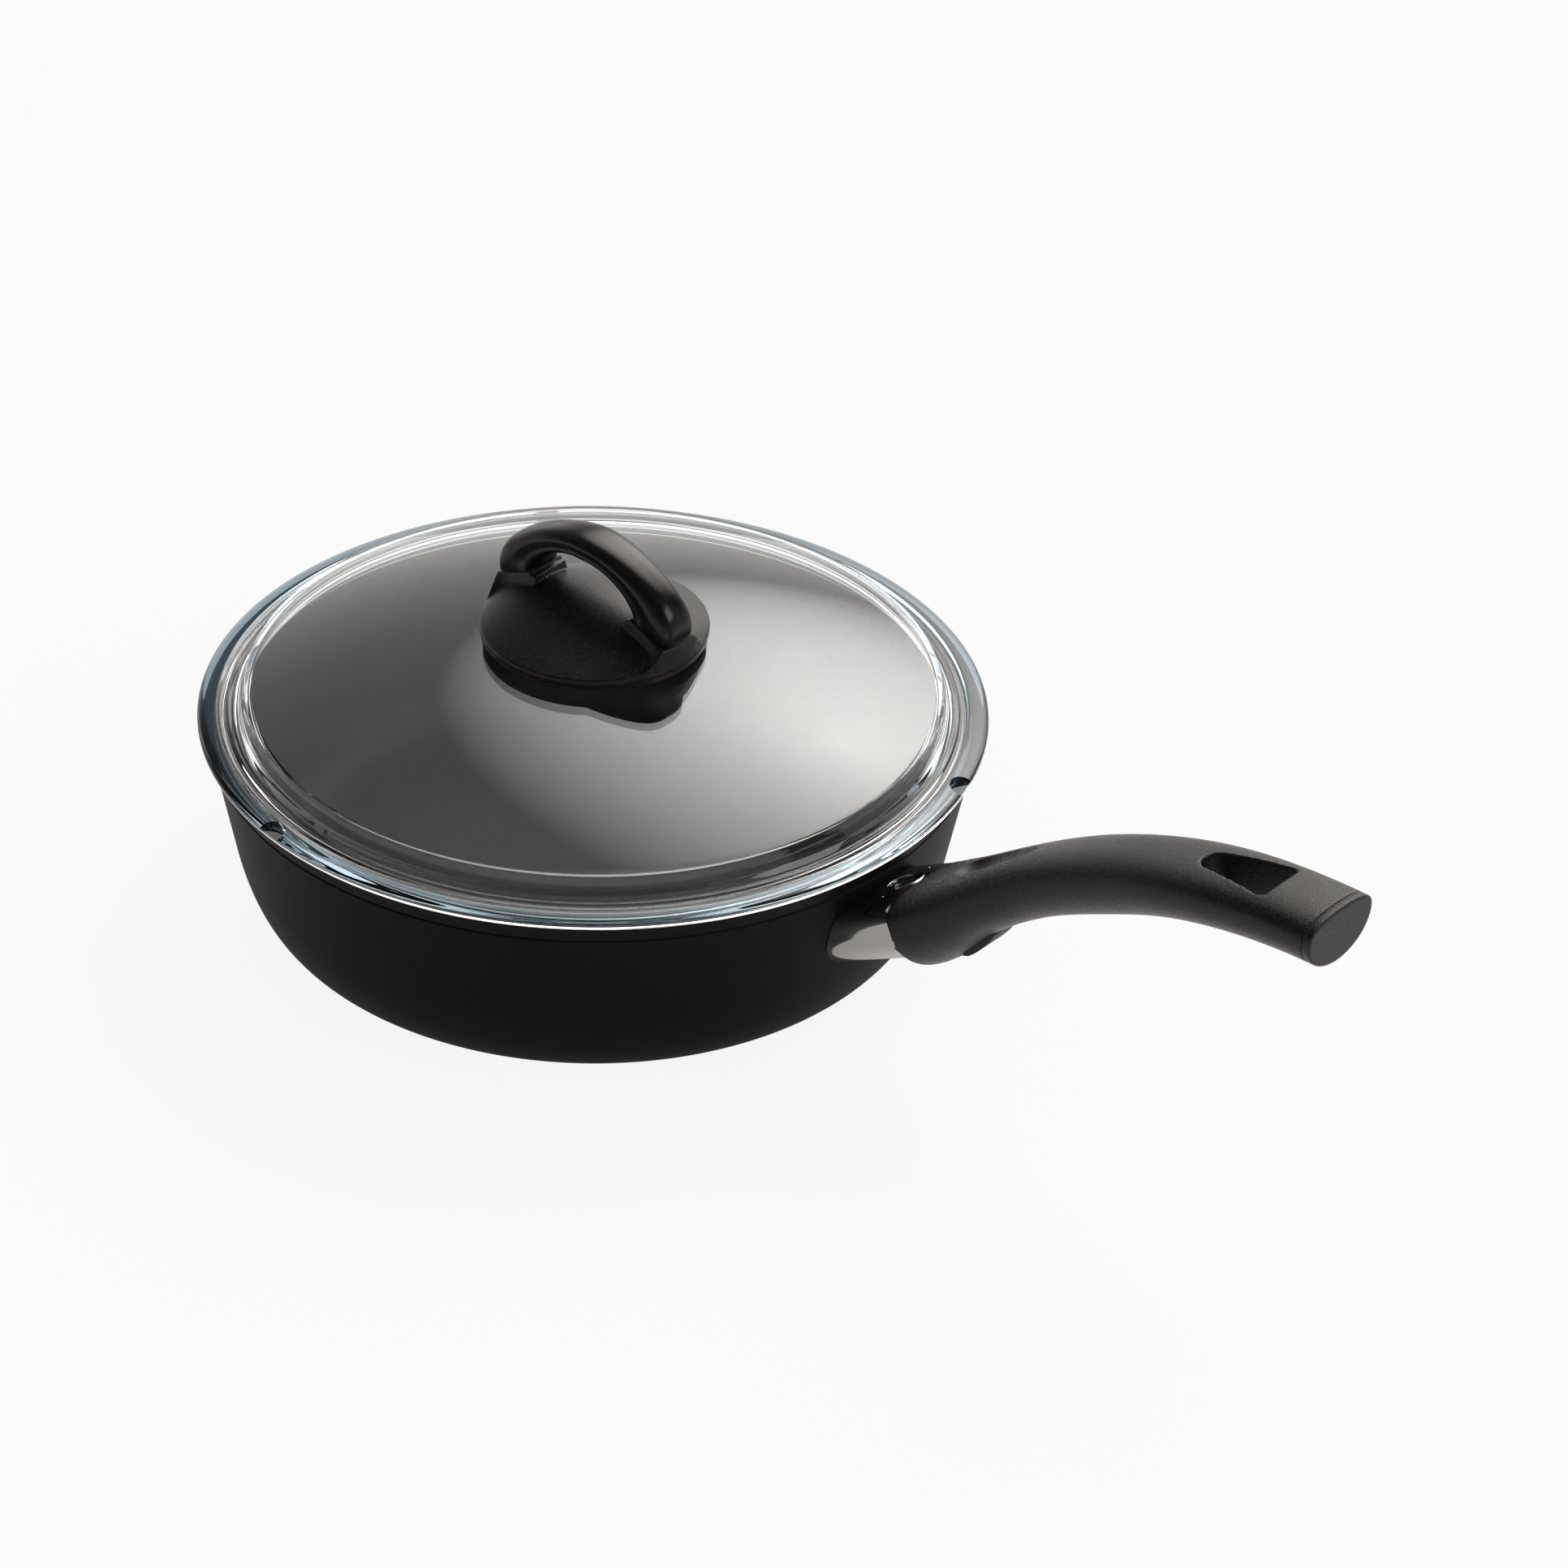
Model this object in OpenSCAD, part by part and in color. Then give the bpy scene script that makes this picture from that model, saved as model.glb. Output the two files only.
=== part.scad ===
// Saute pan with a glass lid and a latched handle.
// Millimetres. Z = 0 is the surface that the pan rests on, Z is the axis of the pan,
// and the handle runs along +X. The XZ plane is the mirror plane of pan and handle.

/* [Pan] */
// Inner diameter of the pan at its rim
pan_d = 280; // [270:1:290]
// Height of the rim above the resting face
pan_h = 78; // [74:1:82]
// Thickness of the cast wall
wall_t = 4.7; // [4.2:0.1:5.2]
// Thickness of the cast floor
floor_t = 6; // [5:0.5:7]
// Lean of the flank away from upright, in degrees
flank_lean = 11.1; // [9:0.1:13]
// Height at which the rounded heel turns into the flank
heel_h = 30; // [26:1:34]
// Width of the rounded heel, seen from above
heel_run = 17; // [14:0.5:20]
// Radius on both edges of the rim
rim_round = 1.6; // [1:0.1:2]
// Height of the band under the rim
rim_band = 8; // [6:0.5:10]
// Depth of the line under that band
rim_line = 0.5; // [0.3:0.1:0.8]

/* [Base disc] */
// Radius of the steel disc in the underside
disc_r = 108; // [100:1:112]
// Thickness of the steel disc
disc_t = 1.6; // [1.2:0.1:2]
// How far the steel disc stands below the casting
disc_proud = 0.4; // [0.2:0.1:0.6]
// Number of turned grooves in the disc
disc_grooves = 5; // [3:1:7]
// Width of a turned groove
groove_w = 1.4; // [1:0.1:2]

/* [Handle line] */
// Drop from the rim to the point where the collar meets the grip
handle_drop = 11.5; // [9:0.5:14]
// Distance from the rim's outside to that point
handle_reach = 18.6; // [17:0.1:21]
// Angle at which the handle leaves the pan, in degrees
handle_rise = 28; // [26:0.5:30]
// First pull of the handle's curve, along the collar
curve_start = 40; // [34:1:46]
// Run and rise of the curve's second pull
curve_mid = [73.7, 72.5];
// Run and rise of the tip
curve_tip = [177.5, 72];

/* [Collar] */
// Half width of the steel collar
collar_w = 24; // [23:0.1:24.2]
// Height of the collar above its axis
collar_up = 8.5; // [8.3:0.1:9]
// Depth of the collar below its axis
collar_dn = 18; // [17:0.5:18.5]
// Thickness of the collar's sheet
collar_t = 1.2; // [1:0.1:1.2]
// Length of the narrow neck inside the grip
neck_len = 9; // [8:0.5:10]
// How much narrower the neck is at each side
neck_in = 3.5; // [3:0.1:4]
// How much lower the neck is at the top
neck_drop = 1; // [0.8:0.1:1]
// Radius of the round window over the lock pin
window_r = 6.6; // [6.4:0.1:6.7]
// Distance from the collar's rear edge to the lock pin
pin_back = 7.7; // [7.6:0.1:8.2]

/* [Grip] */
// Half widths of the grip, front to tip
grip_w = [24.6, 23, 19.6, 16.4, 16.8, 18.8, 18.2];
// Heights of the crest over the curve, front to tip
grip_up = [10.6, 10.1, 9.5, 9.1, 8.5, 7.7, 7.6];
// Depths of the underside below the curve, front to tip
grip_dn = [22.5, 19.8, 15.8, 15.4, 17, 15.1, 14.2];
// Where those sizes lie on the curve, 0 at the front and 1 at the tip
grip_at = [0, 0.12, 0.25, 0.4, 0.6, 0.8, 1];
// Length of the hanging hole
hang_len = 33; // [28:0.5:35]
// Width of the hanging hole at its flat end
hang_w = 21; // [18:0.5:22]
// Distance from the tip to the flat end of the hanging hole
hang_back = 24.5; // [24:0.5:30]
// Radius of the thumb hollow
thumb_r = 10; // [9:0.5:11]
// Depth of the thumb hollow
thumb_deep = 2.4; // [2:0.1:2.8]
// Distance from the collar's rear edge to the thumb hollow's round end
thumb_at = 22; // [20:0.5:26]
// Slope at which the thumb hollow runs out, in degrees
thumb_slope = 10; // [9:0.5:12]
// Thickness of the end cap at the tip
cap_t = 3.2; // [2.5:0.1:4]
// Depth of the end cap's spigot
spigot_len = 8; // [6:0.5:9]

/* [Latch] */
// Distance from the collar's rear edge to the latch pivot
pivot_u = 44; // [42:0.5:46]
// Radius of the latch pivot pin
pivot_r = 2; // [1.8:0.1:2.2]
// Half width of the latch arm
arm_w = 4; // [3.6:0.1:4.2]
// Thickness of the latch arm
arm_t = 2.6; // [2.2:0.1:2.8]
// Radius of the lock pin's head
pin_head_r = 5.8; // [5.4:0.1:5.9]
// Radius of the lock pin's shank
pin_r = 3.9; // [3.5:0.1:4]
// Depth to which the lock pin enters the lug
lock_depth = 2.4; // [2:0.1:2.6]
// Half width of the trigger
trigger_w = 6; // [5:0.5:6.5]
// How far the trigger stands out of the grip
trigger_proud = 1.4; // [1:0.1:2]
// Wire thickness of the latch spring
spring_wire = 0.8; // [0.6:0.1:0.8]
// Turns of the latch spring
spring_turns = 3; // [2.5:0.5:3]

/* [Lid] */
// Overhang of the glass beyond the pan's inner wall
lid_over = 8; // [6:0.5:9]
// Thickness of the glass
glass_t = 4; // [3.6:0.1:4.4]
// Rise of the dome's edge above the flange
dome_edge_h = 8.6; // [7:0.1:10]
// Rise of the dome's middle above the flange
dome_h = 30.5; // [28:0.5:33]
// Width of the ring between the pan's inner wall and the dome's edge
dome_in = 10; // [9:0.5:11]
// Depth of the locating step inside the pan
step_h = 2.6; // [2:0.1:3]
// Clearance of the locating step in the pan
step_gap = 0.8; // [0.6:0.1:1.2]
// Gap between the resting lid and the rim
lid_gap = 0.3; // [0.2:0.05:0.4]
// Radius of a steam notch
vent_r = 5.4; // [4.5:0.1:6]
// Depth of a steam notch
vent_deep = 2.5; // [2:0.1:2.8]
// Number of steam notches round the flange
vents = 3; // [2:1:4]
// Angle of the first steam notch from the handle, in degrees
vent_turn = 20; // [12:1:28]

/* [Lid knob] */
// Radius of the knob's foot
foot_r = 42.8; // [41:0.1:44]
// Height of the foot's edge
foot_edge = 5; // [4.5:0.1:6]
// Rise of the foot's round top
foot_crown = 11.5; // [10.5:0.5:12]
// Gap between the foot's edge and the glass
foot_gap = 1.2; // [0.8:0.1:1.6]
// Height of the arch's crest above the foot's edge
arch_h = 38; // [35:0.5:41]
// Distance from the foot's edge to the middle of an arch foot
arch_in = 9.3; // [9:0.1:10.5]
// Half width of the arch
arch_w = 9.6; // [8.5:0.1:10.5]
// Thickness of the arch at its crest
arch_t = 9; // [8:0.5:10]
// Length of an arch foot, seen from the side
arch_foot = 19.4; // [18:0.2:20]
// Slope of the seam under an arch foot, in degrees
seam_slope = 22; // [20:1:24]
// Height of the seam's middle above the foot's edge
seam_h = 11.4; // [11:0.2:12.5]
// Height of the ridge between the arch's feet
ridge_h = 13.5; // [13:0.1:13.8]

/* [Fasteners] */
// Thread radius of the knob screw
knob_screw_r = 3; // [2.5:0.1:3]
// Thread radius of the handle screws
handle_screw_r = 2; // [1.8:0.1:2]
// Thread radius of the lug screws
lug_screw_r = 2.5; // [2:0.1:2.5]
// Thread radius of the arch screws
arch_screw_r = 1.75; // [1.5:0.05:1.8]

/* [Hidden] */

// Clearances
slip = 0.3;
fit = 0.05;
snug = 0.1;
screw_gap = 0.25;
past = 1;

// Pan
rim_r = pan_d / 2 + wall_t;
foot_flat_r = flank_r(heel_h) - heel_run;
// Pulls of the heel's curve: out and up from the flat foot, in from the flank at a height
heel_pull = [6, 2.2];
heel_turn = [4.5, 9.5];
line_w = 0.8;
line_edge = 0.15;
// The same for the inside, whose curve is wider
inner_run = heel_run * 1.5;
inner_pull = 0.36;
inner_turn = [4, 8];
inner_h = heel_h + 2;

// Lid heights
lid_z = pan_h + lid_gap;
flange_z = lid_z + glass_t;
dome_r = pan_d / 2 - dome_in;
dome_rise = dome_h - dome_edge_h;
dome_ball = (dome_r * dome_r + dome_rise * dome_rise) / (2 * dome_rise);
dome_z = flange_z + dome_h - dome_ball;
flange_r = pan_d / 2 + lid_over;

// Handle frame: u runs along the collar from its rear edge, v is square to it
handle_x = rim_r + handle_reach;
handle_z = pan_h - handle_drop;
lug_top = 0.4;
lug_back = 1.3;
lug_face = -22;
boss_deep = 26;
collar_len = 46;
neck_w = collar_w - neck_in;
neck_up = collar_up - neck_drop;
neck_dn = collar_dn - neck_drop - 0.5;
step_wall = 1;
pin_play = 0.5;
window_lip = 0.8;
window_rise = 0.4;
pip_y = 13;
pip_r = 1;
pip_top = collar_up - 0.4;
lug_screw_y = 12.5;
lug_screw_v = -6;
lug_screw_deep = 9;
lug_head_r = lug_screw_r + 1.75;
lug_head_u = -14;
lug_head_h = 5;
lug_socket_r = lug_screw_r * 0.95;

// Latch
arm_v = lug_top + 0.6;
arm_top = arm_v + arm_t;
pivot_v = arm_v + 3.2;
pivot_play = 0.08;
pivot_boss = pivot_r + 1.5;
pin_top = collar_up - 1;
pin_edge = 0.6;
pin_dish = [1.6, 2, 0.3];
eye_r = pin_head_r + 2;
// Ends of the trigger on the grip's underside, as places on the handle's curve
trigger_at = [0.1, 0.23];
trigger_slot = [12.8, 34.4];
trigger_play = 0.5;
leg_u = [20, 28];
trigger_top = -5;
spring_u = 26;
spring_r = 2.4;
channel_v = [arm_v - 0.6, pivot_v + 4];
core_v = [channel_v[0] + slip, channel_v[1] - slip];
slot_w = arm_w + 0.6;
cheek_w = slot_w + 4;
core_end = pivot_u + 12;
web_u = pivot_u + 6;
plug_u = [0.6, neck_len + 0.6];

// Handle screws
handle_head_r = handle_screw_r + 1.5;
handle_head_h = 2.6;
handle_screw_len = 10;
front_screw = [neck_len / 2, -neck_dn - 1.7];
rear_screw = [pivot_u + 9, -4.4];
screw_well = 12;

// Knob
foot_z = dome_z + sqrt(dome_ball * dome_ball - foot_r * foot_r) + foot_gap;
edge_z = foot_z + foot_edge;
crown_z = edge_z + foot_crown;
glass_mid = dome_z + dome_ball;
seal_r = [4.4, 16];
seal_z = glass_mid;
seal_t = 1;
boss_z = seal_z + seal_t;
foot_hollow = 3;
foot_wall = 3.4;
seam_z = edge_z + seam_h;
insert_r = 5;
insert_h = 8;
washer_r = 12;
washer_t = 1.2;
under_glass = glass_mid - glass_t;
washer_z = under_glass - 2 * snug - seal_t;
knob_head_h = 3.6;
knob_screw_len = insert_h + washer_t + boss_z - washer_z - 2.2;
arch_x = foot_r - arch_in;
arch_head_z = foot_z + foot_hollow + 4;
arch_head_r = arch_screw_r + 1.6;
arch_head_h = 2;
arch_screw_top = seam_z + 8;
glass_hole_r = knob_screw_r + 1;

smooth = 96;
body_colour = "#29292b";
steel_colour = "#c9c9c7";
grip_colour = "#4a4846";

function flank_r(z) = rim_r - (pan_h - z) * tan(flank_lean);
function bez(p, t) = p[0] * pow(1 - t, 3) + 3 * p[1] * t * pow(1 - t, 2)
    + 3 * p[2] * t * t * (1 - t) + p[3] * pow(t, 3);
function bez_way(p, t) = 3 * (p[1] - p[0]) * pow(1 - t, 2) + 6 * (p[2] - p[1]) * t * (1 - t)
    + 3 * (p[3] - p[2]) * t * t;
function bez_points(p, n) = [for (i = [0:n]) bez(p, i / n)];
function arc(c, r, a0, a1, n) =
    [for (i = [0:n]) let (a = a0 + (a1 - a0) * i / n) [c[0] + r * cos(a), c[1] + r * sin(a)]];
function signed_pow(x, e) = sign(x) * pow(abs(x), e);
// Value at t between listed knots, with level ends and no overshoot at a knot
function ease(s) = s * s * (3 - 2 * s);
function knot(t, at, v) = let (n = len(at) - 1,
    i = t >= 1 ? n - 1 : max([for (k = [0:n - 1]) t >= at[k] ? k : 0]),
    s = (t - at[i]) / (at[i + 1] - at[i]),
    d0 = slope(i, at, v) * (at[i + 1] - at[i]),
    d1 = slope(i + 1, at, v) * (at[i + 1] - at[i]))
    (2 * s * s * s - 3 * s * s + 1) * v[i] + (s * s * s - 2 * s * s + s) * d0
    + (3 * s * s - 2 * s * s * s) * v[i + 1] + (s * s * s - s * s) * d1;
function slope(i, at, v) = i == 0 || i == len(at) - 1 ? 0
    : (v[i + 1] - v[i - 1]) / (at[i + 1] - at[i - 1]);

// Oval with its own half width, height and depth, as [across, up] points
oval_top = 2.5;
oval_low = 2;
function oval(w, up, dn, n = 40) = [for (i = [0:n - 1]) let (a = 360 * i / n,
    e = sin(a) >= 0 ? oval_top : oval_low, h = sin(a) >= 0 ? up : dn)
    [w * signed_pow(cos(a), 2 / e), h * signed_pow(sin(a), 2 / e)]];

// Solid through rings that all have as many points
module loft(rings) {
    n = len(rings[0]);
    m = len(rings);
    points = [for (ring = rings) each ring];
    sides = [for (j = [0:m - 2], i = [0:n - 1]) let (k = (i + 1) % n)
        each [[j * n + i, (j + 1) * n + i, (j + 1) * n + k], [j * n + i, (j + 1) * n + k, j * n + k]]];
    ends = [[for (i = [0:n - 1]) i], [for (i = [n - 1:-1:0]) (m - 1) * n + i]];
    polyhedron(points, concat(sides, ends), convexity = 6);
}

// Curve of the handle in the XZ plane
curve = [[handle_x, handle_z],
    [handle_x + curve_start * cos(handle_rise), handle_z + curve_start * sin(handle_rise)],
    [handle_x + curve_mid[0], handle_z + curve_mid[1]],
    [handle_x + curve_tip[0], handle_z + curve_tip[1]]];
function grip_ring(t, inset) = let (c = bez(curve, t), g = bez_way(curve, t), d = g / norm(g),
    w = knot(t, grip_at, grip_w) - inset, up = knot(t, grip_at, grip_up) - inset,
    dn = knot(t, grip_at, grip_dn) - inset)
    [for (p = oval(w, up, dn, 36)) [c[0] - d[1] * p[1], p[0], c[1] + d[0] * p[1]]];
// Point above (side 1) or below (side -1) the curve in the collar's frame, moved out by extra
function edge_at(t, sizes, side, extra) = let (c = bez(curve, t) - curve[0], g = bez_way(curve, t),
    d = g / norm(g), h = side * (knot(t, grip_at, sizes) + extra),
    x = c[0] - d[1] * h, z = c[1] + d[0] * h)
    [x * cos(handle_rise) + z * sin(handle_rise), z * cos(handle_rise) - x * sin(handle_rise)];
crest = [for (i = [0:20]) edge_at(i / 20, grip_up, 1, 0)];
function crest_v(u) = lookup(u, crest);
tip_way = bez_way(curve, 1);
tip_pace = norm(tip_way);
tip_angle = atan2(tip_way[1], tip_way[0]);
cap_at = 1 - cap_t / tip_pace;
hang_lean = 8;
hang_x = curve[3][0] - hang_back;
hang_z = curve[3][1];

// Places children with u along X and v along Z
module on_collar() translate([handle_x, 0, handle_z]) rotate([0, -handle_rise, 0]) children();
// Draws an [across, up] outline and pulls it along u from u0 to u1
module along(u0, u1) translate([u0, 0, 0]) rotate([90, 0, 90]) linear_extrude(u1 - u0) children();
// Draws a [u, v] outline and pulls it across the handle
module across(half) rotate([90, 0, 0]) translate([0, 0, -half]) linear_extrude(2 * half) children();
module bore_up(u, y, v0, v1, r) translate([u, y, v0]) cylinder(h = v1 - v0, r = r, $fn = smooth);
module at_tip() translate([curve[3][0], 0, curve[3][1]]) rotate([0, -tip_angle, 0]) children();

// Outside of the pan as one solid, grown by gap
module pan_outside(gap) {
    heel = [[foot_flat_r, disc_proud], [foot_flat_r, disc_proud] + heel_pull,
        [flank_r(heel_h) - heel_turn[0], heel_turn[1]], [flank_r(heel_h), heel_h]];
    line_z = pan_h - rim_band;
    rotate_extrude($fn = smooth) polygon(concat([[0, disc_proud]],
        [for (p = bez_points(heel, 12)) [p[0] + gap, p[1]]],
        [[flank_r(line_z) + gap, line_z], [flank_r(line_z) - rim_line + gap, line_z + line_edge],
         [flank_r(line_z) - rim_line + gap, line_z + line_w],
         [flank_r(line_z + line_w) + gap, line_z + line_w + line_edge]],
        arc([rim_r - rim_round + gap, pan_h - rim_round], rim_round, 0, 90, 4),
        [[0, pan_h]]));
}

module pan_inside() {
    top_r = pan_d / 2;
    lean = tan(flank_lean);
    turn_r = top_r - (pan_h - inner_h) * lean;
    inner = [[turn_r - inner_run, floor_t], [turn_r - inner_run * inner_pull, floor_t],
        [turn_r - inner_turn[0], floor_t + inner_turn[1]], [turn_r, inner_h]];
    rotate_extrude($fn = smooth) polygon(concat([[0, floor_t]], bez_points(inner, 12),
        [[top_r - rim_round * lean, pan_h - rim_round]],
        arc([top_r + rim_round, pan_h - rim_round], rim_round, 180, 90, 4),
        [[top_r + rim_round, pan_h + past], [0, pan_h + past]]));
}

module pan_body() color(body_colour) difference() {
    union() {
        pan_outside(0);
        on_collar() lug_block(lug_face - boss_deep, lug_face);
    }
    pan_inside();
    translate([0, 0, -past]) cylinder(h = disc_t + past, r = disc_r + slip, $fn = smooth);
    on_collar() lug_screw_places() rotate([0, -90, 0])
        cylinder(h = lug_screw_deep, r = lug_screw_r, $fn = smooth);
}

// Flat-topped block that fills the collar from u0 to u1
module lug_block(u0, u1) intersection() {
    along(u0, u1) polygon(oval(collar_w - collar_t - slip, collar_up - collar_t - slip,
        collar_dn - collar_t - slip));
    translate([u0, -collar_w, -collar_dn]) cube([u1 - u0, 2 * collar_w, collar_dn + lug_top]);
}

module lug_screw_places() for (side = [-1, 1])
    translate([lug_face, side * lug_screw_y, lug_screw_v]) children();

module base_disc() color(steel_colour) {
    pitch = disc_r / (disc_grooves + 1);
    depth = disc_t * 0.3;
    difference() {
        cylinder(h = disc_t, r = disc_r, $fn = smooth);
        for (i = [1:disc_grooves]) translate([0, 0, -past]) difference() {
            cylinder(h = depth + past, r = i * pitch + groove_w / 2, $fn = smooth);
            translate([0, 0, -past]) cylinder(h = depth + 3 * past, r = i * pitch - groove_w / 2,
                $fn = smooth);
        }
    }
}

// Lug inside the collar, which the lock pin drops into
module pan_lug() color("#8f9092") on_collar() difference() {
    lug_block(lug_face, -lug_back);
    bore_up(-pin_back, 0, -collar_dn - past, lug_top + past, pin_r + pin_play);
    lug_screw_places() rotate([0, 90, 0]) {
        translate([0, 0, -past]) cylinder(h = -lug_face, r = lug_screw_r + screw_gap, $fn = smooth);
        translate([0, 0, lug_head_u - lug_face])
            cylinder(h = -lug_head_u, r = lug_head_r + slip, $fn = smooth);
    }
}

module lug_screws() color(steel_colour) on_collar() lug_screw_places() rotate([0, 90, 0]) {
    seat = lug_head_u - lug_face;
    difference() {
        union() {
            translate([0, 0, slip - lug_screw_deep])
                cylinder(h = lug_screw_deep - slip + seat, r = lug_screw_r - fit, $fn = smooth);
            translate([0, 0, seat]) cylinder(h = lug_head_h, r = lug_head_r, $fn = smooth);
        }
        translate([0, 0, seat + lug_head_h / 2]) cylinder(h = lug_head_h, r = lug_socket_r, $fn = 6);
    }
}

// Steel sleeve between pan and grip, cut to the pan's flank
module handle_collar() color(steel_colour) difference() {
    on_collar() {
        difference() {
            union() {
                along(-collar_len, 0) polygon(oval(collar_w, collar_up, collar_dn));
                along(-step_wall, neck_len) polygon(oval(neck_w, neck_up, neck_dn));
                bore_up(-pin_back, 0, 0, collar_up + window_rise, window_r + window_lip);
                for (side = [-1, 1]) bore_up(-pin_back, side * pip_y, 0, pip_top, pip_r);
            }
            along(-collar_len - past, -step_wall) polygon(oval(collar_w - collar_t,
                collar_up - collar_t, collar_dn - collar_t));
            along(-step_wall - past, neck_len + past) polygon(oval(neck_w - collar_t,
                neck_up - collar_t, neck_dn - collar_t));
            bore_up(-pin_back, 0, -past, collar_up + past, window_r);
            bore_up(front_screw[0], 0, -collar_dn - past, -neck_dn / 2, handle_screw_r + screw_gap);
        }
    }
    pan_outside(slip);
}

// Core that holds the collar's neck and the latch pivot inside the grip
module handle_core() color("#8f9092") on_collar() difference() {
    union() {
        along(plug_u[0], plug_u[1]) polygon(oval(neck_w - collar_t - slip,
            neck_up - collar_t - slip, neck_dn - collar_t - slip));
        translate([neck_len + slip, -cheek_w, core_v[0]])
            cube([core_end - neck_len - slip, 2 * cheek_w, core_v[1] - core_v[0]]);
    }
    translate([-past, -slot_w, -slip]) cube([web_u + past, 2 * slot_w, core_v[1] + 2 * past]);
    rotate([90, 0, 0]) translate([pivot_u, pivot_v, -cheek_w - past])
        cylinder(h = 2 * cheek_w + 2 * past, r = pivot_r + fit, $fn = smooth);
    for (s = [front_screw, rear_screw])
        bore_up(s[0], 0, s[1] - past, s[1] + handle_screw_len + slip, handle_screw_r);
}

module handle_screws() color(steel_colour) on_collar() for (s = [front_screw, rear_screw]) difference() {
    union() {
        bore_up(s[0], 0, s[1] - snug, s[1] + handle_screw_len, handle_screw_r - fit);
        bore_up(s[0], 0, s[1] - handle_head_h, s[1], handle_head_r);
    }
    translate([s[0], 0, s[1] - handle_head_h]) cross_slot(handle_head_r, handle_head_h);
}

// Cross recess in a screw head of radius r and height h
module cross_slot(r, h) for (turn = [0, 90]) rotate(turn)
    cube([r * 1.3, r * 0.24, h * 0.8], center = true);

// Moulded grip: a loft along the curve, hollowed for collar, core, latch and cap
module handle_grip() color(grip_colour) difference() {
    loft([for (i = [0:26]) grip_ring(cap_at * i / 26, 0)]);
    on_collar() {
        along(-neck_len, plug_u[1] + slip)
            polygon(oval(neck_w + 2 * snug, neck_up + 2 * snug, neck_dn + 2 * snug));
        translate([neck_len, -cheek_w - slip, channel_v[0]])
            cube([core_end + slip - neck_len, 2 * (cheek_w + slip), channel_v[1] - channel_v[0]]);
        translate([trigger_slot[0], -trigger_w - trigger_play, -2 * collar_dn])
            cube([trigger_slot[1] - trigger_slot[0], 2 * (trigger_w + trigger_play),
                2 * collar_dn + arm_v]);
        for (s = [front_screw, rear_screw]) {
            bore_up(s[0], 0, s[1] - past, channel_v[0] + past, handle_screw_r + screw_gap);
            bore_up(s[0], 0, s[1] - screw_well, s[1], handle_head_r + slip);
        }
        thumb_hollow();
    }
    cap_spigot(slip);
    hang_hole();
}

// Spigot of the end cap inside the grip, grown by gap
module cap_spigot(gap) at_tip() translate([-cap_t - spigot_len - gap, 0, 0])
    along(0, spigot_len + cap_t - snug) polygon(oval(spigot(grip_w) + gap, spigot(grip_up) + gap,
        spigot(grip_dn) + gap));
function spigot(sizes) = sizes[len(sizes) - 1] - 3.6;

// Round-nosed hollow that runs out along the crest
module thumb_hollow() {
    translate([thumb_at, 0, crest_v(thumb_at) - thumb_deep + thumb_r]) rotate([0, 90 - thumb_slope, 0])
        rotate_extrude($fn = smooth) polygon(concat(arc([0, 0], thumb_r, -90, 0, 12),
            [[thumb_r, 3 * thumb_at], [0, 3 * thumb_at]]));
}

// Hole with a round end towards the pan and a flat end towards the tip
module hang_hole() {
    round_r = hang_w * 0.28;
    corner = hang_w / 7;
    half = hang_w / 2;
    side = atan2(half - corner - (round_r - corner), hang_len - round_r - corner);
    translate([hang_x, 0, hang_z]) rotate([0, -hang_lean, 0])
        linear_extrude(3 * hang_w, center = true) polygon(concat(
            arc([-hang_len + round_r, 0], round_r, 90 + side, 270 - side, 10),
            arc([-corner, -half + corner], corner, 270 - side, 360, 4),
            arc([-corner, half - corner], corner, 0, 90 + side, 4)));
}

// Rounded edge of the end cap: [distance from the tip, inset]
cap_edge = [[cap_t - slip, 0.15], [1.1, 0.15], [0.35, 0.5], [0, 1.4]];
module end_cap() color("#6a6866") union() {
    loft([for (e = cap_edge) grip_ring(1 - e[0] / tip_pace, e[1])]);
    cap_spigot(0);
}

// Rocking latch: an eye for the lock pin, an arm, a pivot boss and the trigger
module latch_lever() color("#2f2f31") on_collar() difference() {
    steps = 8;
    pad = [for (i = [0:steps]) edge_at(trigger_at[0] + (trigger_at[1] - trigger_at[0]) * i / steps,
        grip_dn, -1, trigger_proud * pow(sin(180 * i / steps), 0.4))];
    union() {
        bore_up(-pin_back, 0, arm_v, arm_top, eye_r);
        across(arm_w) polygon([[-pin_back, arm_v], [pivot_u, arm_v], [pivot_u, arm_top],
            [-pin_back, arm_top]]);
        across(arm_w) translate([pivot_u, pivot_v]) circle(r = pivot_boss, $fn = smooth);
        across(arm_w) polygon([[leg_u[0], arm_v + fit], [leg_u[0], trigger_top - past],
            [leg_u[1], trigger_top - past], [leg_u[1], arm_v + fit]]);
        across(trigger_w) polygon(concat(pad, [[pad[steps][0] - 2, trigger_top],
            [leg_u[0], trigger_top], [pad[0][0] + 2, 2 * trigger_top]]));
    }
    bore_up(-pin_back, 0, arm_v - past, arm_top + past, pin_r + fit);
    rotate([90, 0, 0]) translate([pivot_u, pivot_v, -arm_w - past])
        cylinder(h = 2 * arm_w + 2 * past, r = pivot_r + pivot_play, $fn = smooth);
}

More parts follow.
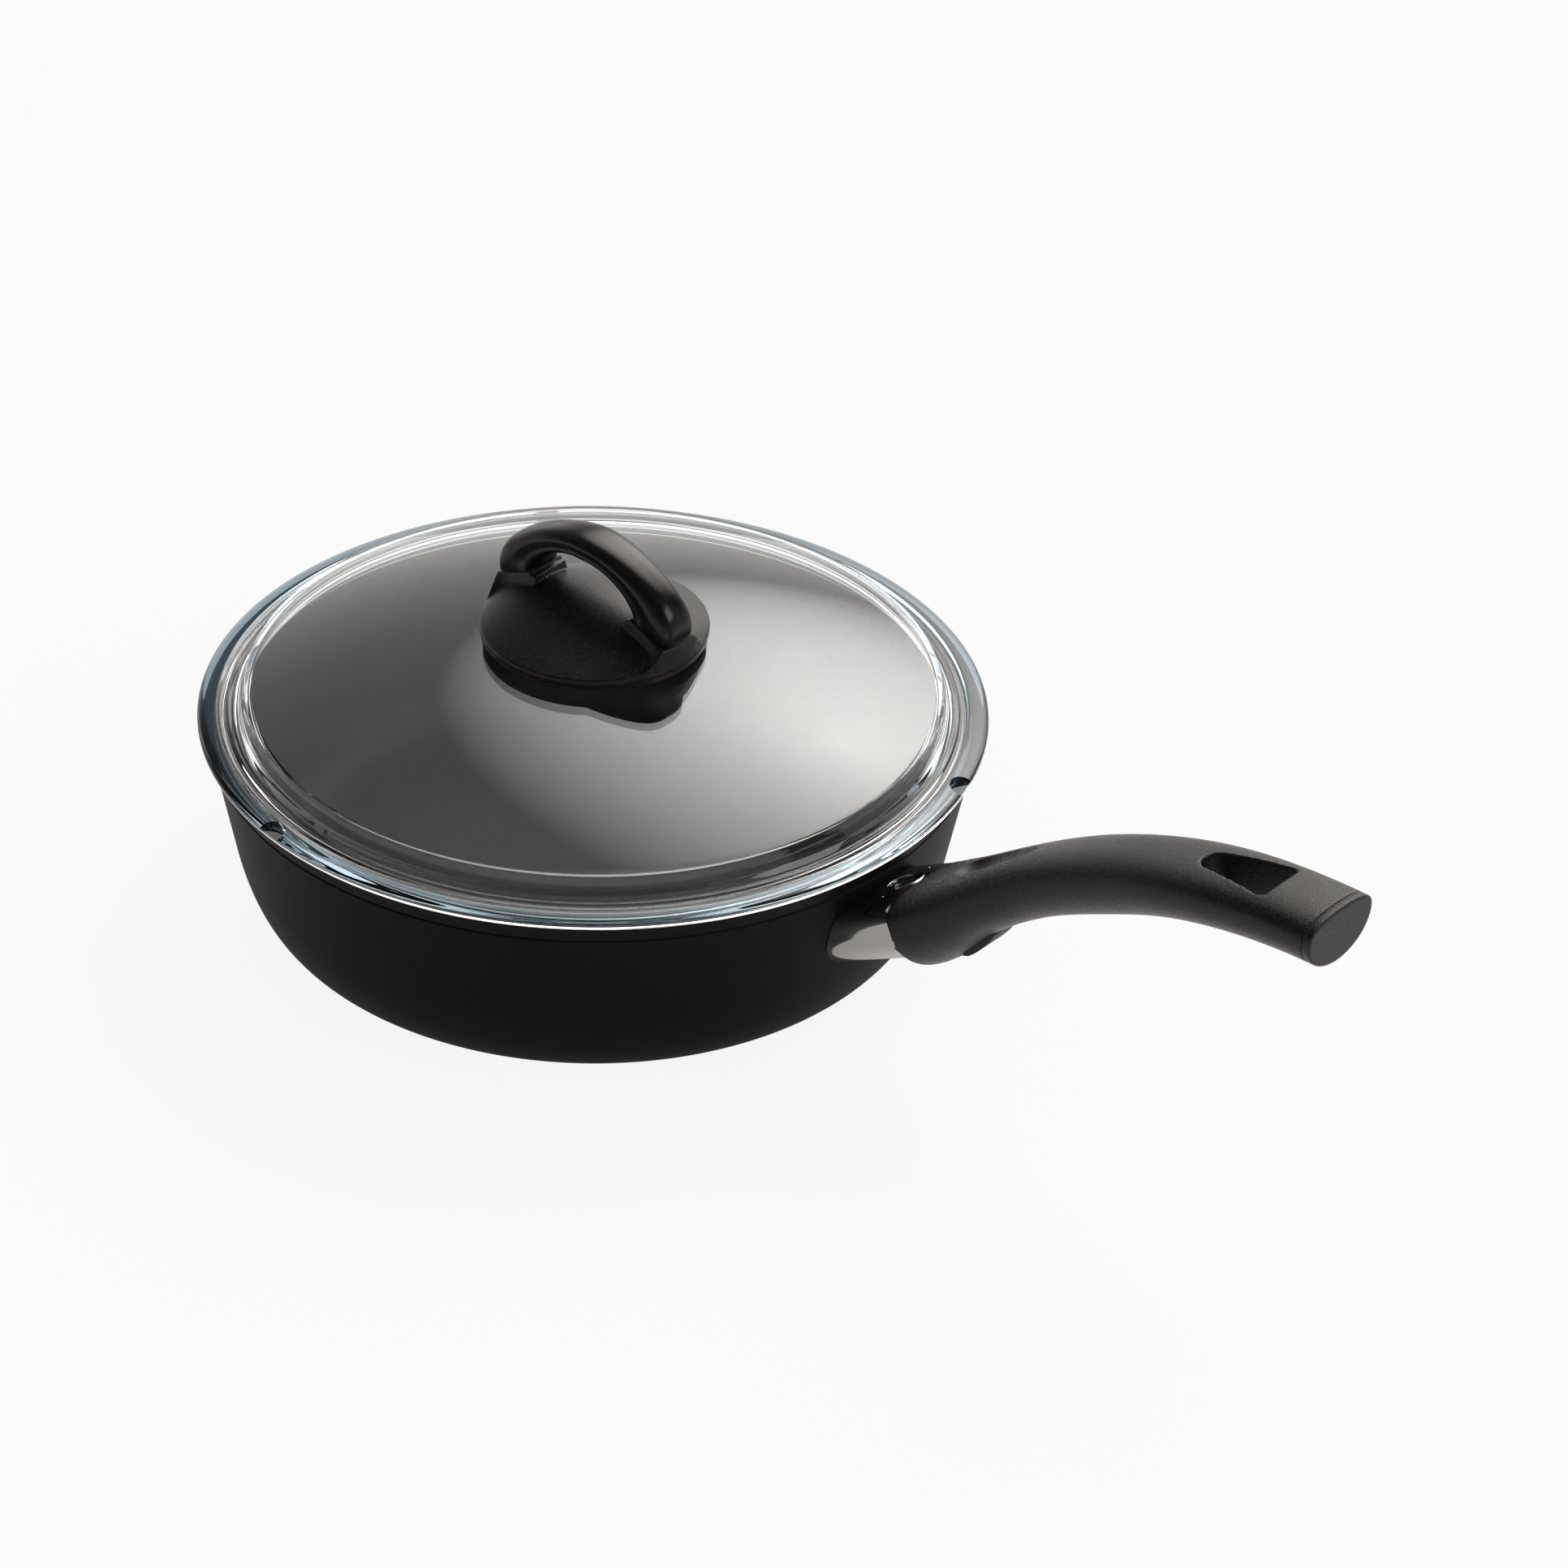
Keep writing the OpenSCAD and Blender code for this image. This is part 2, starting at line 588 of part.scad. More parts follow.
// Pin whose head shows in the collar's round window
module lock_pin() color("#1f1f21") on_collar() {
    low = lug_top - lock_depth;
    translate([-pin_back, 0, 0]) rotate_extrude($fn = smooth) polygon([[0, low],
        [pin_r - pin_edge, low], [pin_r, low + pin_edge], [pin_r, arm_top],
        [pin_head_r, arm_top], [pin_head_r, pin_top - pin_edge], [pin_head_r - pin_edge, pin_top],
        [pin_head_r - pin_dish[0], pin_top], [pin_head_r - pin_dish[1], pin_top - pin_dish[2]],
        [0, pin_top - pin_dish[2]]]);
}

module latch_pivot() color(steel_colour) on_collar() rotate([90, 0, 0])
    translate([pivot_u, pivot_v, -cheek_w]) cylinder(h = 2 * cheek_w, r = pivot_r, $fn = smooth);

// Open coil between the latch arm and the roof of the grip's channel
module latch_spring() color(steel_colour) on_collar() {
    rise = channel_v[1] - arm_top - spring_wire - 2 * snug;
    rings = 8 * spring_turns;
    wire = spring_wire / 2;
    translate([spring_u, 0, arm_top + wire + snug])
        loft([for (j = [0:rings]) let (a = 360 * spring_turns * j / rings, z = rise * j / rings)
            [for (i = [0:5]) let (s = -60 * i, r = spring_r + wire * cos(s))
                [r * cos(a), r * sin(a), z + wire * sin(s)]]]);
}

// Pressed steps from the flange to the wall, measured from the pan's inner wall: [out, up]
lid_steps = [[0.6, 0], [-0.4, -0.9], [-2.6, -0.9], [-3.4, -0.1], [-5.2, -0.1], [-6.2, 0.9],
    [-7.4, 2.2]];
// Edge between wall and dome: [out, up]
dome_edge = [[0.9, -1.2], [0.3, -0.2]];
// Inside of that wall, from the top down, and the foot of the locating step: [out, up]
dome_inner = [[-2.4, -glass_t - 0.6], [-0.9, 2], [1, 0.8], [2, 0]];
step_edge = [1.4, 0.4, 0.8];

// Pressed glass lid: flange, locating step, upright wall and shallow dome
module lid_glass() color("#a9c4cc", 0.45) difference() {
    in_r = pan_d / 2;
    wall_z = flange_z + dome_edge_h;
    low_ball = dome_ball - glass_t;
    step_r = in_r - step_gap;
    low = lid_z - step_h;
    rotate_extrude($fn = 144) polygon(concat(
        arc([flange_r - glass_t / 2, lid_z + glass_t / 2], glass_t / 2, -90, 90, 8),
        [for (p = lid_steps) [in_r, flange_z] + p], [for (p = dome_edge) [dome_r, wall_z] + p],
        [for (i = [0:10]) let (r = dome_r * (1 - i / 10)) [r, ball_z(dome_ball, r)]],
        [for (i = [0:10]) let (r = (dome_r - 3) * i / 10) [r, ball_z(low_ball, r)]],
        [[dome_r, wall_z] + dome_inner[0], [dome_r, lid_z] + dome_inner[1],
         [dome_r, low] + dome_inner[2], [dome_r, low] + dome_inner[3], [step_r - step_edge[0], low],
         [step_r - step_edge[1], low + step_edge[2]], [step_r, lid_z]]));
    translate([0, 0, under_glass - past])
        cylinder(h = glass_t + 2 * past, r = glass_hole_r, $fn = smooth);
    for (i = [0:vents - 1]) rotate(vent_turn + 360 * i / vents)
        translate([flange_r - vent_in, 0, flange_z - vent_deep])
            cylinder(h = vent_deep + past, r = vent_r, $fn = smooth);
}

vent_in = 1.2;
function ball_z(r, x) = dome_z + sqrt(r * r - x * x);

module knob_seal() color("#1c1c1d") translate([0, 0, seal_z]) difference() {
    cylinder(h = seal_t, r = seal_r[1], $fn = smooth);
    translate([0, 0, -past]) cylinder(h = seal_t + 2 * past, r = seal_r[0], $fn = smooth);
}

// Ridge stations on one side of the knob: [x, top, half width]
seam_in = arch_x - arch_foot / 2 * cos(seam_slope);
seam_out = min(arch_x + arch_foot / 2 * cos(seam_slope), foot_r - 1.2);
ridge_side = [[0, ridge_h, arch_w - 1], [9, ridge_h - 0.2, arch_w - 0.8],
    [16, ridge_h - 0.8, arch_w - 0.4], [20, ridge_h - 0.9, arch_w - 0.2],
    [seam_in, seam_top(seam_in), arch_w], [arch_x, seam_h, arch_w],
    [seam_out, seam_top(seam_out), arch_w], [seam_out + 0.8, 1.2, arch_w - 1.6]];
ridge_sunk = 1.4;
ridge_flare = 1.8;
squareness = 0.72;
function seam_top(x) = seam_h - (x - arch_x) * tan(seam_slope);
function ridge_ring(x, top, w) = [for (i = [0:20]) let (a = 180 * i / 20)
    [x, w * signed_pow(cos(a), squareness) + ridge_flare * cos(a) * (1 - sin(a)),
     edge_z - ridge_sunk + (top + ridge_sunk) * pow(abs(sin(a)), squareness)]];
// Outline of the foot's edge from its underside up: [in, up]
foot_steps = [[1.2, 0], [0.6, 0.6], [0.6, 1.6], [1.1, 1.9], [0.2, 2.2], [0, foot_edge - 0.8],
    [0.5, foot_edge - 0.1], [1.3, foot_edge]];
// Pulls of the crown's curve
crown_line = [[foot_r - 2, edge_z + 0.3], [foot_r * 0.62, crown_z - 2.2], [foot_r * 0.3, crown_z],
    [0, crown_z]];

module knob_foot() color("#232223") difference() {
    union() {
        rotate_extrude($fn = smooth) polygon(concat(
            [[0, boss_z], [seal_r[1] - 2, boss_z], [seal_r[1] - 2, foot_z + foot_hollow],
             [foot_r - foot_wall, foot_z + foot_hollow], [foot_r - foot_wall, foot_z]],
            [for (p = foot_steps) [foot_r - p[0], foot_z + p[1]]], bez_points(crown_line, 8)));
        loft(concat(
            [for (i = [len(ridge_side) - 1:-1:0]) let (s = ridge_side[i]) ridge_ring(-s[0], s[1], s[2])],
            [for (i = [1:len(ridge_side) - 1]) let (s = ridge_side[i]) ridge_ring(s[0], s[1], s[2])]));
    }
    translate([0, 0, boss_z - past])
        cylinder(h = insert_h + past + 2 * snug, r = insert_r + fit, $fn = smooth);
    for (side = [-1, 1]) translate([side * arch_x, 0, foot_z]) {
        cylinder(h = arch_h, r = arch_screw_r + screw_gap, $fn = smooth);
        cylinder(h = arch_head_z - foot_z, r = arch_head_r + slip, $fn = smooth);
    }
}

module knob_insert() color("#b8934a") translate([0, 0, boss_z + snug]) difference() {
    cylinder(h = insert_h, r = insert_r, $fn = smooth);
    translate([0, 0, -past]) cylinder(h = insert_h, r = knob_screw_r, $fn = smooth);
}

// Half of the arch's middle line, from a foot to the crest
arch_crest = edge_z + arch_h - arch_t / 2;
arch_line = [[arch_x, seam_z + snug], [arch_x + 1.9, seam_z + 8], [arch_x * 0.56, arch_crest],
    [0, arch_crest]];
arch_taper = 1.6;
arch_waist = [0.9, 0.3];
function arch_ring(t, side) = let (c = bez(arch_line, t), g = bez_way(arch_line, t), d = g / norm(g),
    n = t == 0 ? [cos(seam_slope), -sin(seam_slope)] : [d[1], -d[0]],
    s = pow(1 - ease(t), arch_taper), h = (arch_foot * s + arch_t * (1 - s)) / 2,
    w = arch_w - arch_waist[0] * sin(180 * t) - arch_waist[1] * t)
    [for (i = [0:27]) let (a = 360 * i / 28, p = h * signed_pow(cos(a), squareness),
        y = w * signed_pow(sin(a), squareness)) [side * (c[0] + n[0] * p), y, c[1] + n[1] * p]];

module knob_arch() color("#232223") difference() {
    steps = 14;
    loft(concat([for (i = [0:steps]) arch_ring(i / steps, 1)],
        [for (i = [steps - 1:-1:0]) arch_ring(i / steps, -1)]));
    for (side = [-1, 1]) translate([side * arch_x, 0, edge_z])
        cylinder(h = arch_screw_top + slip - edge_z, r = arch_screw_r, $fn = smooth);
}

module arch_screws() color(steel_colour) for (side = [-1, 1])
    translate([side * arch_x, 0, arch_head_z - arch_head_h]) difference() {
        union() {
            cylinder(h = arch_screw_top - arch_head_z + arch_head_h, r = arch_screw_r - fit,
                $fn = smooth);
            cylinder(h = arch_head_h, r = arch_head_r, $fn = smooth);
        }
        cross_slot(arch_head_r, arch_head_h);
    }

knob_head = [[0, 0], [3, 0], [4.8, 0.8], [5.6, 2.2], [5.6, knob_head_h], [0, knob_head_h]];
module knob_screw() color(steel_colour) translate([0, 0, washer_z - washer_t - knob_head_h])
    difference() {
        union() {
            cylinder(h = knob_head_h + knob_screw_len, r = knob_screw_r - fit, $fn = smooth);
            rotate_extrude($fn = smooth) polygon(knob_head);
        }
        cross_slot(knob_head[2][0], knob_head_h);
    }

module knob_washer() color(steel_colour) translate([0, 0, washer_z - washer_t]) difference() {
    cylinder(h = washer_t, r = washer_r, $fn = smooth);
    translate([0, 0, -past]) cylinder(h = washer_t + 2 * past, r = knob_screw_r + screw_gap,
        $fn = smooth);
}

module washer_seal() color("#1c1c1d") translate([0, 0, washer_z]) difference() {
    cylinder(h = seal_t, r = washer_r - 1, $fn = smooth);
    translate([0, 0, -past]) cylinder(h = seal_t + 2 * past, r = glass_hole_r, $fn = smooth);
}

pan_body();
base_disc();
pan_lug();
lug_screws();
handle_collar();
handle_core();
handle_screws();
handle_grip();
end_cap();
latch_lever();
lock_pin();
latch_pivot();
latch_spring();
lid_glass();
knob_seal();
knob_foot();
knob_insert();
knob_arch();
arch_screws();
knob_screw();
knob_washer();
washer_seal();
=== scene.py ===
import math

import bmesh
import bpy
from mathutils import Matrix, Vector

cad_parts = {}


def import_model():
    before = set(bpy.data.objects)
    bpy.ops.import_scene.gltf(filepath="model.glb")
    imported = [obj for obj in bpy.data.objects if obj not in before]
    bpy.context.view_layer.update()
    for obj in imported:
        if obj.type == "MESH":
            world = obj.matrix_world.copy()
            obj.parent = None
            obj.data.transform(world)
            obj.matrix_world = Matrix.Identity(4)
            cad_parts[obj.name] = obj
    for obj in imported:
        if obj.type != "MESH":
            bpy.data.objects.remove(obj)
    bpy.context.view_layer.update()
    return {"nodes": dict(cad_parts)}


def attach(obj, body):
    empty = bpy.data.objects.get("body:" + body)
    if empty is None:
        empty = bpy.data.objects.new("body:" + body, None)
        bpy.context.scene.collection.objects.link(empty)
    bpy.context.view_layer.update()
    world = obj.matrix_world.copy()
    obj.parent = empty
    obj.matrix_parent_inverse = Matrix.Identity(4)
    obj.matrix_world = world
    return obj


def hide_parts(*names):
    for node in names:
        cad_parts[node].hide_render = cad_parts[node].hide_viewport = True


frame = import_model()

# Sizes are millimetres here, as in the part's source, and pieces are made metres at the end.
MM = 0.001
# The pan: a leaning wall over a curved heel, a rim with a turned band, and a recess for the disc.
PAN_D, PAN_H, WALL, FLOOR = 280, 78, 4.7, 6
LEAN = math.tan(math.radians(11.1))
RIM_R = PAN_D / 2 + WALL
HEEL_H, HEEL_RUN = 30, 17
DISC_PROUD, DISC_T, DISC_R = 0.4, 1.6, 108
RIM_ROUND, RIM_BAND, RIM_LINE = 1.6, 8, 0.5

# The handle: its collar runs from the pan's wall up to HANDLE, where the grip starts along CURVE.
# GRIP_W, GRIP_UP and GRIP_DN are the grip's half width, height over the curve and depth under it.
HANDLE = Vector((RIM_R + 18.6, 0, PAN_H - 11.5))
RISE = math.radians(28)
CURVE = [HANDLE,
         HANDLE + 40 * Vector((math.cos(RISE), 0, math.sin(RISE))),
         HANDLE + Vector((73.7, 0, 72.5)),
         HANDLE + Vector((177.5, 0, 72))]
GRIP_AT = [0, 0.12, 0.25, 0.4, 0.6, 0.8, 1]
GRIP_W = [24.6, 23, 19.6, 16.4, 16.8, 18.8, 18.2]
GRIP_UP = [9.9, 10.1, 9.5, 9.1, 8.5, 7.7, 7.6]
GRIP_DN = [22.5, 19.8, 15.8, 15.4, 17, 15.1, 14.2]
COLLAR_W, COLLAR_UP, COLLAR_DN, COLLAR_T, COLLAR_LEN = 24, 8.5, 18, 1.2, 46
NECK_W, NECK_UP, NECK_DN, NECK_LEN = 20.5, 7.5, 16.5, 9
WINDOW_U, WINDOW_R, WINDOW_LIP = -7.7, 6.6, 0.8
CAP_T = 3.2

# The lid: a flange on the rim, ring steps inside it, and a dome that is part of a ball.
LID_GAP = 0.3
LID_Z = PAN_H + LID_GAP
GLASS_T = 4
FLANGE_Z = LID_Z + GLASS_T
FLANGE_R = PAN_D / 2 + 8
DOME_R = PAN_D / 2 - 10
DOME_EDGE, DOME_H = 8.6, 30.5
DOME_RISE = DOME_H - DOME_EDGE
DOME_BALL = (DOME_R ** 2 + DOME_RISE ** 2) / (2 * DOME_RISE)
DOME_Z = FLANGE_Z + DOME_H - DOME_BALL
VENT_R, VENT_DEEP, VENT_IN, VENT_TURN = 5.4, 2.5, 1.2, 20

# The knob: a round foot under an arch, whose two feet stand on slanting seams.
FOOT_R, FOOT_EDGE = 42.8, 5
FOOT_Z = DOME_Z + math.sqrt(DOME_BALL ** 2 - FOOT_R ** 2) + 1.2
EDGE_Z = FOOT_Z + FOOT_EDGE
ARCH_X, ARCH_W, ARCH_T, ARCH_FOOT, ARCH_H = 33.5, 9.6, 9, 19.4, 38
SEAM_SLOPE, SEAM_H = math.radians(22), 11.4
SEAM_Z = EDGE_Z + SEAM_H
CROWN_BOSS = DOME_Z + DOME_BALL + 1


# Camera

EYE = Vector((1.2147, -1.3355, 1.2104))
EYE_TURN, EYE_TILT, EYE_ROLL = 40, 32.811, -1.751
FOCAL_PIXELS, PHOTO_PIXELS, SENSOR = 7000, 1932, 36


def place_camera():
    """The photograph's view: 2.2 m from the pan, with a long lens and a slight roll."""
    turn, tilt, roll = (math.radians(angle) for angle in (EYE_TURN, EYE_TILT, EYE_ROLL))
    right = Vector((math.cos(turn), math.sin(turn), 0))
    up = Vector((-math.sin(turn) * math.sin(tilt), math.cos(turn) * math.sin(tilt),
                 math.cos(tilt)))
    across = math.cos(roll) * right - math.sin(roll) * up
    above = math.sin(roll) * right + math.cos(roll) * up
    camera = bpy.data.objects.new("camera", bpy.data.cameras.new("camera"))
    camera.data.sensor_width = SENSOR
    camera.data.lens = SENSOR * FOCAL_PIXELS / PHOTO_PIXELS
    camera.data.clip_end = 20
    back = across.cross(above)
    camera.matrix_world = (Matrix.Translation(EYE)
                           @ Matrix((across, above, back)).transposed().to_4x4())
    bpy.context.scene.collection.objects.link(camera)
    bpy.context.scene.camera = camera


place_camera()
bpy.context.scene.view_settings.view_transform = "Standard"


# Shader helpers

class Wire:
    """A shader socket on which Python's operators add Math nodes."""

    def __init__(self, finish, socket):
        self.finish, self.socket = finish, socket

    def __add__(self, other):
        return self.finish.sum("ADD", self, other)

    def __sub__(self, other):
        return self.finish.sum("SUBTRACT", self, other)

    def __mul__(self, other):
        return self.finish.sum("MULTIPLY", self, other)

    def __rsub__(self, other):
        return self.finish.sum("SUBTRACT", other, self)

    __radd__, __rmul__ = __add__, __mul__


class Finish:
    """A material and the nodes that it is built from."""

    def __init__(self, name, base=(0.5, 0.5, 0.5), world=None, **fixed):
        """fixed holds the shader's sockets that are the same all over, with _ for a space."""
        self.holder = world or bpy.data.materials.new(name)
        self.holder.use_nodes = True
        self.tree = self.holder.node_tree
        self.tree.nodes.clear()
        self.coords = None
        if world is None:
            self.surface = self.tree.nodes.new("ShaderNodeBsdfPrincipled")
            self.output = self.tree.nodes.new("ShaderNodeOutputMaterial")
            self.tree.links.new(self.surface.outputs[0], self.output.inputs[0])
            self.holder.diffuse_color = (*base, 1)
            self.set("Base Color", (*base, 1))
            for key, value in fixed.items():
                self.set(key.replace("_", " "), value)

    def set(self, name, value):
        socket = self.surface.inputs[name]
        if isinstance(value, Wire):
            self.tree.links.new(value.socket, socket)
        else:
            socket.default_value = value

    def node(self, kind, settings=None, inputs=None, out=0):
        """Adds one node: its settings first, then the values or links of its sockets."""
        made = self.tree.nodes.new("ShaderNode" + kind)
        for key, value in (settings or {}).items():
            if key == "stops":
                ramp = made.color_ramp
                while len(ramp.elements) < len(value):
                    ramp.elements.new(0.5)
                for stop, (at, level) in zip(ramp.elements, value):
                    stop.position = at
                    stop.color = (*level, 1) if isinstance(level, tuple) else (level,) * 3 + (1,)
            else:
                setattr(made, key, value)
        for key, value in (inputs or {}).items():
            if isinstance(value, Wire):
                self.tree.links.new(value.socket, made.inputs[key])
            else:
                made.inputs[key].default_value = value
        return Wire(self, made.outputs[out])

    def sum(self, operation, a, b):
        return self.node("Math", {"operation": operation}, {0: a, 1: b})

    def place(self, scale=(1, 1, 1)):
        """The piece's own coordinates, in metres times scale."""
        if self.coords is None:
            self.coords = self.node("TexCoord", out="Object")
        return self.node("Mapping", inputs={"Vector": self.coords, "Scale": scale})

    def noise(self, scale, detail=2, rough=0.5, at=None):
        return self.node("TexNoise", None, {"Vector": at or self.place(), "Scale": scale,
                                            "Detail": detail, "Roughness": rough})

    def ramp(self, value, stops):
        return self.node("ValToRGB", {"stops": stops}, {0: value})

    def mix(self, share, a, b):
        """Colour a where share is 0, and b where it is 1."""
        return self.node("Mix", {"data_type": "RGBA"}, {0: share, 6: a, 7: b}, out=2)

    def bump(self, height, depth, distance=0.0002):
        self.set("Normal", self.node("Bump", None, {"Strength": depth, "Distance": distance,
                                                    "Height": height}))


def shade(r, g, b):
    return (r, g, b, 1)


def sprayed_coating(name, dark, pale, rough, glitter, **fixed):
    """Non-stick coating: a fine sprayed grain with faint mineral flecks."""
    f = Finish(name, pale, **fixed)
    grain = f.noise(1500, 3, 0.6)
    cloud = f.noise(28, 3, 0.55)
    fleck = f.ramp(f.noise(2600, 1, 0.4), [(0.62, 0.0), (0.74, 1.0)])
    base = f.mix(f.ramp(grain, [(0.3, 0.0), (0.7, 1.0)]), shade(*dark), shade(*pale))
    f.set("Base Color", f.mix(fleck * glitter, base, shade(0.45, 0.43, 0.41)))
    f.set("Roughness", rough + 0.1 * (cloud - 0.5) + 0.12 * (grain - 0.5))
    f.bump(grain + 0.6 * fleck, 0.35, 0.00012)
    return f.holder


def moulded_plastic(name, dark, pale, rough, grain_size, depth, relief=0.00015, fleck_share=0.0,
                    **fixed):
    """Eroded mould texture: small rounded pits, with pale flecks strewn at random."""
    f = Finish(name, pale, **fixed)
    pits = f.noise(grain_size, 2, 0.65)
    blotch = f.noise(grain_size * 0.3, 2, 0.5)
    pale_flecks = f.ramp(f.noise(grain_size * 1.2, 1, 0.4), [(0.6, 0.0), (0.7, 1.0)])
    base = f.mix(f.ramp(pits, [(0.36, 0.0), (0.66, 1.0)]), shade(*dark), shade(*pale))
    f.set("Base Color", f.mix(fleck_share * pale_flecks, base, shade(*[4 * c for c in pale])))
    f.set("Roughness", rough + 0.16 * (pits - 0.5) + 0.08 * (blotch - 0.5))
    f.bump(pits, depth, relief)
    return f.holder


def worked_metal(name, colour, rough, streak, depth=0.12):
    """Metal with the long fine streaks of its polishing or drawing direction."""
    f = Finish(name, colour, Metallic=1.0)
    lines = f.noise(1, 4, 0.7, at=f.place(streak))
    smear = f.noise(40, 2, 0.5)
    f.set("Base Color", f.mix(lines, shade(*[0.9 * c for c in colour]), shade(*colour)))
    f.set("Roughness", rough + 0.1 * (lines - 0.5) + 0.06 * (smear - 0.5))
    f.bump(lines, depth, 0.00004)
    return f.holder


def turned_metal(name, colour, rough, pitch):
    """Metal faced on a lathe: rings about the Z axis."""
    f = Finish(name, colour, Metallic=1.0)
    rings = f.node("TexWave", {"wave_type": "RINGS", "rings_direction": "Z"},
                   {"Vector": f.place(), "Scale": pitch, "Distortion": 0.4, "Detail": 2.0,
                    "Detail Scale": 3.0})
    wear = f.noise(60, 3, 0.6)
    f.set("Base Color", f.mix(wear, shade(*[0.82 * c for c in colour]), shade(*colour)))
    f.set("Roughness", rough + 0.12 * (rings - 0.5) + 0.1 * (wear - 0.5))
    f.bump(rings, 0.15, 0.00005)
    return f.holder


def clear_glass(name, tint):
    """Pressed glass, which lets lamplight through to what it covers."""
    f = Finish(name, tint, Transmission_Weight=1.0, IOR=1.47, Roughness=0.0)
    ripple = f.noise(14, 2, 0.5)
    f.bump(ripple, 0.025, 0.0006)
    clear = f.node("BsdfTransparent", None, {"Color": shade(*[0.55 + 0.45 * c for c in tint])})
    lamp = f.node("LightPath", out="Is Shadow Ray")
    both = f.node("MixShader", None, {0: lamp, 1: Wire(f, f.surface.outputs[0]), 2: clear})
    f.tree.links.new(both.socket, f.output.inputs[0])
    return f.holder


def soft_rubber(name, colour):
    """Silicone with a little dust on it."""
    f = Finish(name, colour, Specular_IOR_Level=0.3)
    dust = f.noise(220, 3, 0.6)
    f.set("Base Color", f.mix(dust, shade(*colour), shade(*[2.2 * c for c in colour])))
    f.set("Roughness", 0.62 + 0.2 * (dust - 0.5))
    f.bump(f.noise(900, 2, 0.5), 0.2, 0.0001)
    return f.holder


# Mirrored light off the dark plastics and coatings gets a painted warm tint, in place of warmer
# lamplight.
WARM_REFLECTION_TINT = (1, 0.93, 0.87, 1)
COATING_OUT = sprayed_coating(
    "matte_black_coating", (0.0055, 0.0051, 0.0053), (0.0085, 0.0079, 0.0081),
    rough=0.44, glitter=0.0, Specular_IOR_Level=0.085)
COATING_IN = sprayed_coating(
    "inner_coating", (0.015, 0.013, 0.0118), (0.023, 0.02, 0.0182),
    rough=0.17, glitter=0.3, Specular_IOR_Level=0.75, Specular_Tint=WARM_REFLECTION_TINT)
GRIP_PLASTIC = moulded_plastic(
    "grip_plastic", (0.0065, 0.0059, 0.0054), (0.012, 0.0109, 0.01),
    rough=0.26, grain_size=2300, depth=0.8, relief=0.00022, fleck_share=0.8,
    Specular_IOR_Level=0.36, Specular_Tint=WARM_REFLECTION_TINT)
CAP_PLASTIC = moulded_plastic(
    "cap_plastic", (0.011, 0.0098, 0.0092), (0.016, 0.0142, 0.0134),
    rough=0.45, grain_size=1500, depth=0.3, Specular_IOR_Level=0.17, Specular_Tint=WARM_REFLECTION_TINT)
KNOB_PLASTIC = moulded_plastic(
    "knob_plastic", (0.005, 0.0045, 0.0041), (0.0085, 0.0077, 0.0071),
    rough=0.2, grain_size=1700, depth=0.15, relief=0.00012,
    Specular_IOR_Level=0.36, Specular_Tint=WARM_REFLECTION_TINT)
CROWN_PLASTIC = moulded_plastic(
    "crown_plastic", (0.005, 0.0045, 0.0041), (0.0085, 0.0077, 0.0071),
    rough=0.24, grain_size=1900, depth=0.7, relief=0.00025, fleck_share=0.5,
    Specular_IOR_Level=0.4, Specular_Tint=WARM_REFLECTION_TINT)
LATCH_PLASTIC = moulded_plastic(
    "latch_plastic", (0.01, 0.01, 0.01), (0.016, 0.016, 0.016),
    rough=0.45, grain_size=1300, depth=0.25)
POLISHED = worked_metal("polished_steel", (0.8, 0.775, 0.745), 0.065, (30, 900, 900))
SATIN_STEEL = worked_metal("satin_steel", (0.58, 0.58, 0.57), 0.3, (500, 500, 60))
CAST_ALLOY = worked_metal("cast_alloy", (0.5, 0.5, 0.51), 0.48, (260, 260, 260), depth=0.3)
DARK_METAL = worked_metal("blackened_steel", (0.05, 0.05, 0.052), 0.35, (400, 400, 400))
BRASS = worked_metal("turned_brass", (0.6, 0.42, 0.16), 0.3, (500, 500, 80))
BASE_STEEL = turned_metal("turned_base", (0.6, 0.6, 0.59), 0.3, 700)
GLASS = clear_glass("lid_glass", (0.985, 0.982, 0.972))
# Painted steel blue for the flange's top, standing in for light seen through the glass's long edge
PAINTED_BLUE_EDGE_GLASS = clear_glass("lid_edge_painted_blue_glass", (0.07, 0.115, 0.148))
RUBBER = soft_rubber("black_silicone", (0.012, 0.012, 0.012))


# Shape helpers

def softened(points, radius, steps=4):
    """The same outline with its inner corners rounded. A point may carry its own radius."""
    out = [Vector(points[0][:2])]
    for i in range(1, len(points) - 1):
        before, corner, after = (Vector(points[k][:2]) for k in (i - 1, i, i + 1))
        r = points[i][2] if len(points[i]) > 2 else radius
        back, on = before - corner, after - corner
        reach = min(r, back.length * 0.48, on.length * 0.48)
        if reach < 0.02:
            out.append(corner)
            continue
        a, b = corner + back.normalized() * reach, corner + on.normalized() * reach
        for k in range(steps + 1):
            t = k / steps
            out.append(a * (1 - t) ** 2 + 2 * corner * t * (1 - t) + b * t ** 2)
    return out + [Vector(points[-1][:2])]


def turned(outline, steps=256):
    """Spins an outline of (radius, height) points about Z."""
    bm = bmesh.new()
    verts = [bm.verts.new((p[0], 0, p[1])) for p in outline]
    edges = [bm.edges.new(pair) for pair in zip(verts, verts[1:])]
    bmesh.ops.spin(bm, geom=verts + edges, cent=(0, 0, 0), axis=(0, 0, 1), angle=math.tau,
                   steps=steps, use_merge=True)
    bmesh.ops.remove_doubles(bm, verts=bm.verts, dist=1e-4)
    bmesh.ops.dissolve_degenerate(bm, dist=1e-5, edges=bm.edges)
    bmesh.ops.recalc_face_normals(bm, faces=bm.faces)
    return bm


